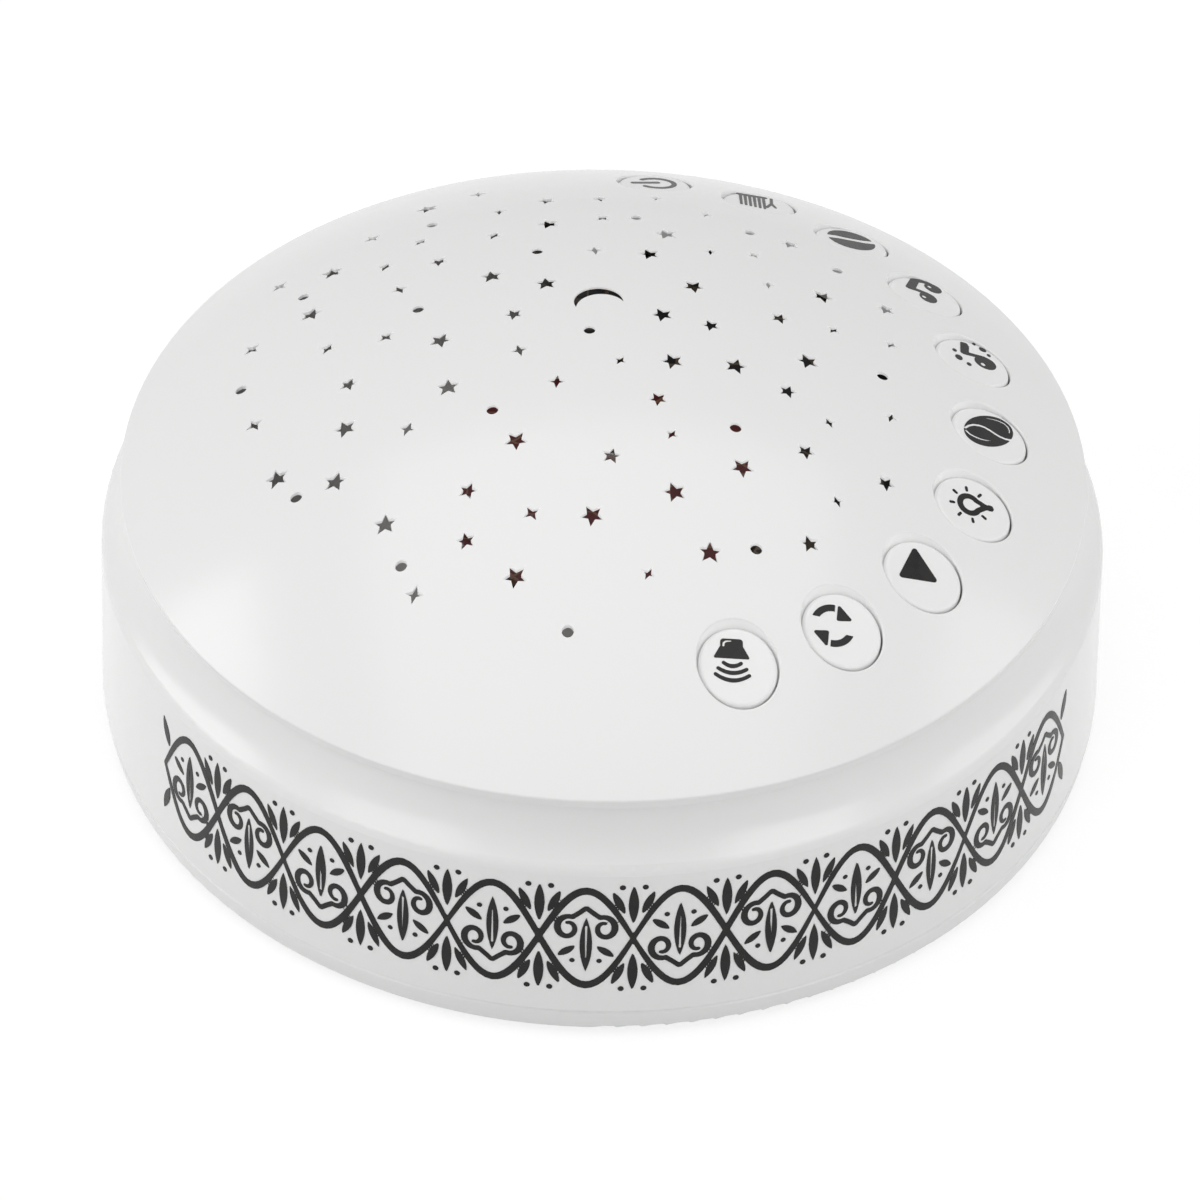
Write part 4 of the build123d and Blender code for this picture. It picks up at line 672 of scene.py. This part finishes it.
def draw_lines(ink):
    """A comb of close strokes beside a forked one."""
    for count in range(6):
        x = -2.6 + 0.72 * count
        ink.line([(x - 0.1, -0.9 - 0.12 * count), (x + 0.16, 4.3)], [0.42, 0.5])
    ink.line([(-2.7, 4.3), (1.4, 4.3)], [0.8, 0.8])
    ink.line([(1.3, -0.6), (2.2, 1.6), (2.4, 4.2)], [0.5, 0.5])
    ink.line([(2.2, 1.6), (2.7, -0.2)], [0.5, 0.4])


def draw_power(ink):
    """A ring with a gap, and a bar through the gap."""
    ink.line(bow((0.35, 1.1), 2.75, range(-130, 146, 8)), [0.8, 0.8])
    ink.line([(-3.2, 0.55), (0.5, 1.5)], [0.9, 0.9])


SYMBOLS = {"sound": draw_sound, "repeat": draw_repeat, "play": draw_play, "lamp": draw_lamp,
           "bean": draw_bean, "chime": draw_chime, "music": draw_music, "leaf": draw_leaf,
           "lines": draw_lines, "power": draw_power}


def cap_plane(name):
    """Centre, right, up and outward directions of a key cap's sloping top."""
    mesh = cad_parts["key_" + name].data
    areas = {}
    for polygon in mesh.polygons:
        if KEY_SLOPES[0] < polygon.normal.z < KEY_SLOPES[1]:
            key = tuple(round(part, 2) for part in polygon.normal)
            area, total, spot = areas.get(key, (0.0, Vector(), Vector()))
            areas[key] = (area + polygon.area, total + polygon.normal * polygon.area,
                          spot + polygon.center * polygon.area)
    if not areas:
        raise RuntimeError(f"the cap of key {name} has no sloping top")
    area, total, spot = max(areas.values(), key=lambda entry: entry[0])
    outward = total.normalized()
    up = (Vector((0, 1, 0)) - outward * outward.y).normalized()
    low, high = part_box("key_" + name)
    centre = (low + high) / 2
    centre.z += (spot / area - centre).dot(outward) / outward.z
    return centre, up.cross(outward), up, outward


def wall_profile():
    """Heights and radii of the body's outer wall, from the base to the shoulder."""
    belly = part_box("body_shell")[1].x
    rings = {}
    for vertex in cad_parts["body_shell"].data.vertices:
        x, y, z = vertex.co
        if y < 0 and hypot(x, y) > belly - WALL_SKIN:
            level = round(z, 4)
            rings[level] = max(rings.get(level, 0.0), hypot(x, y))
    levels = sorted(rings)
    return levels, [rings[level] for level in levels]


def draw_palmette(ink, root, way, size):
    """Three leaves that fan out from one root, with berries between them."""
    for turn, start, length, width in ((0, 0.9, 8.1, 1.45), (23, 3.0, 7.6, 1.15), (-23, 3.0, 7.6, 1.15)):
        across, along = sin(radians(turn)) * size, way * cos(radians(turn)) * size
        ink.leaf((root[0] + start * across, root[1] + start * along),
                 (root[0] + length * across, root[1] + length * along), width * size)
    for side in (-1, 1):
        ink.disc((root[0] + side * 1.6 * size, root[1] + way * 7.8 * size), 0.45 * size)


def draw_eye(ink, centre, way, size):
    """A tall bud between two curled tendrils, under a pair of small leaves."""
    ink.leaf((centre[0], centre[1] - way * 3.9 * size), (centre[0], centre[1] + way * 6.4 * size),
             1.75 * size, rib=0.34)
    for side in (-1, 1):
        tendril = [(centre[0] + side * 0.1, centre[1] - way * 5.7 * size),
                   (centre[0] + side * 0.9 * size, centre[1] - way * 4.9 * size)]
        for step in range(25):
            share = step / 24
            radius = (2.05 - 1.15 * share) * size
            angle = radians(-112 + 390 * share)
            tendril.append((centre[0] + side * (2.6 * size + radius * cos(angle) * 0.84),
                            centre[1] + way * (-1.9 * size + radius * sin(angle) * 1.1)))
        ink.line(tendril, [0.75, 1.0, 0.8, 0.55])
        ink.leaf((centre[0] + side * 1.5 * size, centre[1] + way * 1.5 * size),
                 (centre[0] + side * 4.0 * size, centre[1] + way * 3.5 * size), 1.15 * size)
        ink.disc((centre[0] + side * 1.9 * size, centre[1] + way * 4.3 * size), 0.4 * size)


def draw_arabesque(ink, length, height, repeats):
    """Two stems that wave across each other, with a bud in each eye and palmettes where they cross."""
    first, middle, swing = 0.8, height / 2, 0.43 * height
    pitch = (length - 2 * first) / repeats
    size = pitch / 26.5
    steps = 36
    nib = [0.7, 1.25, 0.9, 1.3] * repeats + [0.7]
    for way in (-1, 1):
        ink.line([(first + pitch * step / steps, middle + way * swing * sin(2 * pi * step / steps))
                  for step in range(steps * repeats + 1)], nib)
        for end, edge in ((1, first), (-1, first + pitch * repeats)):
            ink.leaf((edge + end * 1.2 * size, middle + way * 4.0 * size),
                     (edge - end * 0.4 * size, middle + way * 9.0 * size), 1.4 * size)
    for half in range(2 * repeats):
        draw_eye(ink, (first + pitch * (half / 2 + 0.25), middle), 1 - 2 * (half % 2), size)
    for half in range(1, 2 * repeats):
        for way in (-1, 1):
            draw_palmette(ink, (first + pitch * half / 2, middle + way * 1.9 * size), way, size)


# Stage and pieces, one operator each


def background_seen(tree):
    """One for rays that come straight from the camera or by way of gloss or glass, else zero."""
    path = add_node(tree, "ShaderNodeLightPath").outputs
    return maths(tree, "MAXIMUM", path["Is Camera Ray"],
                 maths(tree, "MAXIMUM", path["Is Glossy Ray"], path["Is Transmission Ray"]))


def floor_paint():
    """A pale floor that shows white around the object and keeps its shadow."""
    material = bpy.data.materials.new("finish_floor")
    material.use_nodes = True
    tree = material.node_tree
    tree.nodes.clear()
    lit_shade, seen_shade, seen_glow = 0.86, 0.3, 0.76
    seen = background_seen(tree)
    place = add_node(tree, "ShaderNodeTexCoord").outputs["Object"]
    paper = stretch(tree, noise(tree, place, 30.0, 3.0), 0.3, 0.7, 0.97, 1.0)
    shade = maths(tree, "MULTIPLY", paper, stretch(tree, seen, 0.0, 1.0, lit_shade, seen_shade))
    colour = add_node(tree, "ShaderNodeCombineColor", {0: shade, 1: shade, 2: shade}).outputs[0]
    matt = add_node(tree, "ShaderNodeBsdfDiffuse", {"Color": colour})
    glow = add_node(tree, "ShaderNodeEmission", {
        "Color": (1, 1, 1, 1), "Strength": maths(tree, "MULTIPLY", seen, seen_glow)})
    both = add_node(tree, "ShaderNodeAddShader", {0: matt.outputs[0], 1: glow.outputs[0]})
    add_node(tree, "ShaderNodeOutputMaterial", {"Surface": both.outputs[0]})
    return material


def softbox(name, place, size, power):
    light = bpy.data.lights.new(name, "AREA")
    light.size = size
    light.energy = power
    lamp = add_object(name, light)
    lamp.location = place
    lamp.rotation_euler = (LAMP_AIM - Vector(place)).to_track_quat("-Z", "Y").to_euler()
    return lamp


def build_floor(radius):
    rim = [(x, y, 0.0) for x, y in bow((0, 0), radius, range(0, 360, 5))]
    mesh = bpy.data.meshes.new("floor")
    mesh.from_pydata(rim, [], [list(range(len(rim)))])
    mesh.materials.append(floor_paint())
    add_object("floor", mesh)


def build_lamps(settings):
    """Five softboxes round the casing, and daylight under its crown."""
    softbox("top_softbox", (0, 0, 1.0), 1.2, settings.top_box_power)
    softbox("left_softbox", (-0.9, 0, 0.45), 0.6, settings.left_box_power)
    softbox("right_softbox", (0.9, 0, 0.45), 0.6, settings.right_box_power)
    softbox("front_left_softbox", (-0.65, -0.75, 0.5), 0.5, settings.front_left_power)
    softbox("front_right_softbox", (0.65, -0.75, 0.5), 0.5, settings.front_right_power)
    low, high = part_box("top_cover")
    under_crown = high.z - 0.45 * (high.z - low.z)
    seeping = softbox("seeping_light", (0, 0, under_crown), 0.06, settings.seep_power)
    seeping.visible_camera = False


def build_sky(strength):
    """Even light from all round, which shows as plain white."""
    world = bpy.data.worlds.new("studio_sky")
    bpy.context.scene.world = world
    world.use_nodes = True
    tree = world.node_tree
    tree.nodes.clear()
    shown = stretch(tree, background_seen(tree), 0.0, 1.0, strength, 1.0)
    sky = add_node(tree, "ShaderNodeBackground", {"Color": (1, 1, 1, 1), "Strength": shown})
    add_node(tree, "ShaderNodeOutputWorld", {"Surface": sky.outputs[0]})


def build_camera(settings):
    lens = bpy.data.cameras.new("camera")
    lens.sensor_width = 36.0
    lens.lens = settings.lens_length
    camera = add_object("camera", lens)
    camera.matrix_world = (Matrix.Translation(settings.camera_place)
                           @ Matrix.Rotation(settings.camera_tilt, 4, "X")
                           @ Matrix.Rotation(settings.camera_roll, 4, "Z"))
    bpy.context.scene.camera = camera


class NIGHTLIGHT_OT_stage(bpy.types.Operator):
    """Build the pale floor, the soft lights, the sky and the camera"""

    bl_idname = "nightlight.stage"
    bl_label = "Stage"

    def execute(self, context):
        settings = context.scene.stage_settings
        build_floor(settings.floor_radius)
        build_lamps(settings)
        build_sky(settings.sky_strength)
        build_camera(settings)
        context.scene.view_settings.view_transform = "Standard"
        return {"FINISHED"}


class NIGHTLIGHT_OT_casing(bpy.types.Operator):
    """Finish the domed cover, the body and the base in glossy moulded plastic, with a painted glow on the
    edges of the dome's holes
    """

    bl_idname = "nightlight.casing"
    bl_label = "Casing"

    def execute(self, context):
        settings = context.scene.plastic_settings
        dome = casing_plastic("dome_plastic", settings.casing_colour, settings.gloss_roughness)
        key_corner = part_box("key_play")[1]
        # The dome's hole edges get a painted glow, emission in place of light through the thin plastic
        dress(add_painted_glow(dome, hypot(key_corner.x, key_corner.y), settings.painted_edge_glow), "top_cover")
        body = casing_plastic("body_plastic", settings.casing_colour, settings.gloss_roughness)
        dress(body, "body_shell")
        base_colour = [0.97 * part for part in settings.casing_colour]
        base = casing_plastic("base_plastic", base_colour, settings.gloss_roughness + 0.1)
        dress(base, "bottom_cover")
        return {"FINISHED"}


class NIGHTLIGHT_OT_keys(bpy.types.Operator):
    """Finish the key caps and the plungers of the switches under them"""

    bl_idname = "nightlight.keys"
    bl_label = "Keys"

    def execute(self, context):
        settings = context.scene.plastic_settings
        cap = casing_plastic("key_plastic", settings.key_colour, settings.gloss_roughness + 0.12)
        dress(cap, *["key_" + name for name in KEYS])
        dress(matt_plastic("plunger_plastic", (0.02, 0.02, 0.022)), *["plunger_" + name for name in KEYS])
        return {"FINISHED"}


class NIGHTLIGHT_OT_key_symbols(bpy.types.Operator):
    """Print a symbol on every key cap"""

    bl_idname = "nightlight.key_symbols"
    bl_label = "Key Symbols"

    def execute(self, context):
        settings = context.scene.print_settings
        for name in KEYS:
            centre, right, up, outward = cap_plane(name)
            ink = Ink((-5.2, -5.2), (5.2, 5.6), SYMBOL_STEP)
            SYMBOLS[name](ink)

            def place(x, y, height):
                lift = settings.symbol_lift + y * MM * settings.symbol_height
                return centre + right * (x * MM) + up * lift + outward * height

            ink_piece("symbol_" + name, ink, place, name + "_key")
        return {"FINISHED"}


class NIGHTLIGHT_OT_wall_ornament(bpy.types.Operator):
    """Print the arabesque round the front of the wall"""

    bl_idname = "nightlight.wall_ornament"
    bl_label = "Wall Ornament"

    def execute(self, context):
        settings = context.scene.print_settings
        levels, radii = wall_profile()
        middle_radius = float(np.interp((settings.band_low + settings.band_high) / 2, levels, radii))
        sweep = settings.band_end - settings.band_start
        length = sweep * middle_radius / MM
        height = (settings.band_high - settings.band_low) / MM
        ink = Ink((-BAND_MARGIN, -BAND_MARGIN), (length + BAND_MARGIN, height + BAND_MARGIN), BAND_STEP)
        draw_arabesque(ink, length, height, settings.band_repeats)

        def place(x, y, proud):
            level = settings.band_low + y * MM
            radius = float(np.interp(level, levels, radii)) + proud
            bearing = settings.band_start + x * MM / middle_radius
            return (radius * cos(bearing), radius * sin(bearing), level)

        ink_piece("wall_ornament", ink, place, "root")
        return {"FINISHED"}


class NIGHTLIGHT_OT_light_chamber(bpy.types.Operator):
    """Finish the white tray, the lamp board, its emitters and the clear lens"""

    bl_idname = "nightlight.light_chamber"
    bl_label = "Light Chamber"

    def execute(self, context):
        settings = context.scene.inside_settings
        dress(matt_plastic("tray_plastic", (0.74, 0.74, 0.73), 0.5), "light_tray")
        dress(board("lamp_board", settings.lamp_board_colour), "lamp_board")
        emitter = soft("emitter", (0.82, 0.62, 0.12), (0.9, 0.8, 0.5),
                       pores=2600.0, roughness=0.35, bump=(0.3, 0.00003))
        dress(emitter, "star_led", "night_leds")
        lens = finish("lens", "Moulded Surface", {
            "Colour": (0.95, 0.96, 0.97, 1), "Drift": 0.01, "Grain Scale": 600.0,
            "Roughness": 0.04, "Marks": 0.05}, (0.05, 0.00001), {"Transmission Weight": 1.0, "IOR": 1.49})
        dress(lens, "star_lens")
        return {"FINISHED"}


class NIGHTLIGHT_OT_key_electronics(bpy.types.Operator):
    """Finish the key board with its switches and chips"""

    bl_idname = "nightlight.key_electronics"
    bl_label = "Key Electronics"

    def execute(self, context):
        dress(board("key_board", context.scene.inside_settings.key_board_colour), "key_board")
        dress(matt_plastic("chip_black", (0.022, 0.022, 0.024), 0.5), "key_board_chips", "key_switches",
              "power_board_chips")
        return {"FINISHED"}


class NIGHTLIGHT_OT_speaker(bpy.types.Operator):
    """Finish the speaker's frame, magnet, cone and foam ring"""

    bl_idname = "nightlight.speaker"
    bl_label = "Speaker"

    def execute(self, context):
        dress(plated("speaker_steel", (0.2, 0.2, 0.22), 0.42, (300.0, 300.0, 40.0), 0.4), "speaker_frame")
        dress(plated("magnet_steel", (0.5, 0.5, 0.52), 0.34, (60.0, 60.0, 700.0), 0.3), "speaker_magnet")
        paper = soft("cone_paper", (0.012, 0.012, 0.012), (0.035, 0.034, 0.032),
                     pores=900.0, roughness=0.78, bump=(0.8, 0.0002))
        dress(paper, "speaker_cone")
        foam = soft("foam", (0.02, 0.02, 0.021), (0.05, 0.05, 0.052),
                    pores=2400.0, roughness=0.9, bump=(1.0, 0.0003))
        dress(foam, "speaker_gasket")
        return {"FINISHED"}


class NIGHTLIGHT_OT_battery(bpy.types.Operator):
    """Finish the round cell and the strap that holds it"""

    bl_idname = "nightlight.battery"
    bl_label = "Battery"

    def execute(self, context):
        colour = context.scene.inside_settings.cell_colour
        sleeve = finish("cell_wrap", "Moulded Surface", {
            "Colour": opaque(colour), "Drift": 0.12, "Grain Scale": 700.0,
            "Roughness": 0.22, "Marks": 0.14}, (0.4, 0.00006), {"Coat Weight": 0.4})
        dress(sleeve, "battery_cell")
        dress(matt_plastic("strap_plastic", (0.72, 0.72, 0.71)), "battery_strap")
        return {"FINISHED"}


class NIGHTLIGHT_OT_power_board(bpy.types.Operator):
    """Finish the power board, its lead plugs and the charging socket"""

    bl_idname = "nightlight.power_board"
    bl_label = "Power Board"

    def execute(self, context):
        dress(board("power_board", context.scene.inside_settings.power_board_colour), "power_board")
        dress(matt_plastic("plug_nylon", (0.7, 0.67, 0.55), 0.4, 0.12), "lead_plugs")
        dress(plated("socket_steel", (0.6, 0.6, 0.61), 0.26, (40.0, 700.0, 40.0), 0.15), "charging_socket")
        return {"FINISHED"}


class NIGHTLIGHT_OT_fasteners(bpy.types.Operator):
    """Finish all screws in plated steel"""

    bl_idname = "nightlight.fasteners"
    bl_label = "Fasteners"

    def execute(self, context):
        steel = plated("screw_steel", (0.56, 0.56, 0.58), 0.3, (500.0, 500.0, 60.0), 0.3)
        dress(steel, *[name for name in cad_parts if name.endswith("_screws")])
        return {"FINISHED"}


class NIGHTLIGHT_OT_feet(bpy.types.Operator):
    """Finish the rubber feet"""

    bl_idname = "nightlight.feet"
    bl_label = "Feet"

    def execute(self, context):
        rubber = soft("feet_rubber", (0.3, 0.3, 0.3), (0.38, 0.38, 0.38),
                      pores=1800.0, roughness=0.72, bump=(0.6, 0.0001))
        dress(rubber, "rubber_feet")
        return {"FINISHED"}


class NIGHTLIGHT_OT_leads(bpy.types.Operator):
    """Finish the insulated leads inside the casing"""

    bl_idname = "nightlight.leads"
    bl_label = "Leads"

    def execute(self, context):
        for name, colour, pale, nodes in (
                ("lead_red", (0.36, 0.014, 0.014), (0.44, 0.03, 0.03), ("battery_lead", "lamp_lead")),
                ("lead_black", (0.016, 0.016, 0.016), (0.03, 0.03, 0.03), ("speaker_lead", "key_lead"))):
            dress(soft(name, colour, pale, pores=1200.0, roughness=0.4, bump=(0.2, 0.00003)), *nodes)
        return {"FINISHED"}


STEPS = (NIGHTLIGHT_OT_stage, NIGHTLIGHT_OT_casing, NIGHTLIGHT_OT_keys, NIGHTLIGHT_OT_key_symbols,
         NIGHTLIGHT_OT_wall_ornament, NIGHTLIGHT_OT_light_chamber, NIGHTLIGHT_OT_key_electronics,
         NIGHTLIGHT_OT_speaker, NIGHTLIGHT_OT_battery, NIGHTLIGHT_OT_power_board,
         NIGHTLIGHT_OT_fasteners, NIGHTLIGHT_OT_feet, NIGHTLIGHT_OT_leads)
SETTINGS = {"stage_settings": StageSettings, "plastic_settings": PlasticSettings,
            "print_settings": PrintSettings, "inside_settings": InsideSettings}


class NIGHTLIGHT_PT_panel(bpy.types.Panel):
    """Steps and settings of the night light"""

    bl_idname = "NIGHTLIGHT_PT_panel"
    bl_label = "Night Light"
    bl_space_type = "VIEW_3D"
    bl_region_type = "UI"
    bl_category = "Night Light"

    def draw(self, context):
        for step in STEPS:
            self.layout.operator(step.bl_idname)
        for name in SETTINGS:
            settings = getattr(context.scene, name)
            box = self.layout.box()
            for label in settings.__annotations__:
                box.prop(settings, label)


def register():
    for kind in (*SETTINGS.values(), *STEPS, NIGHTLIGHT_PT_panel):
        bpy.utils.register_class(kind)
    for name, kind in SETTINGS.items():
        setattr(bpy.types.Scene, name, bpy.props.PointerProperty(type=kind))


def unregister():
    for name in SETTINGS:
        delattr(bpy.types.Scene, name)
    for kind in reversed((*SETTINGS.values(), *STEPS, NIGHTLIGHT_PT_panel)):
        bpy.utils.unregister_class(kind)


def main():
    register()
    for step in STEPS:
        getattr(bpy.ops.nightlight, step.bl_idname.split(".")[1])()


if __name__ == "__main__":
    main()
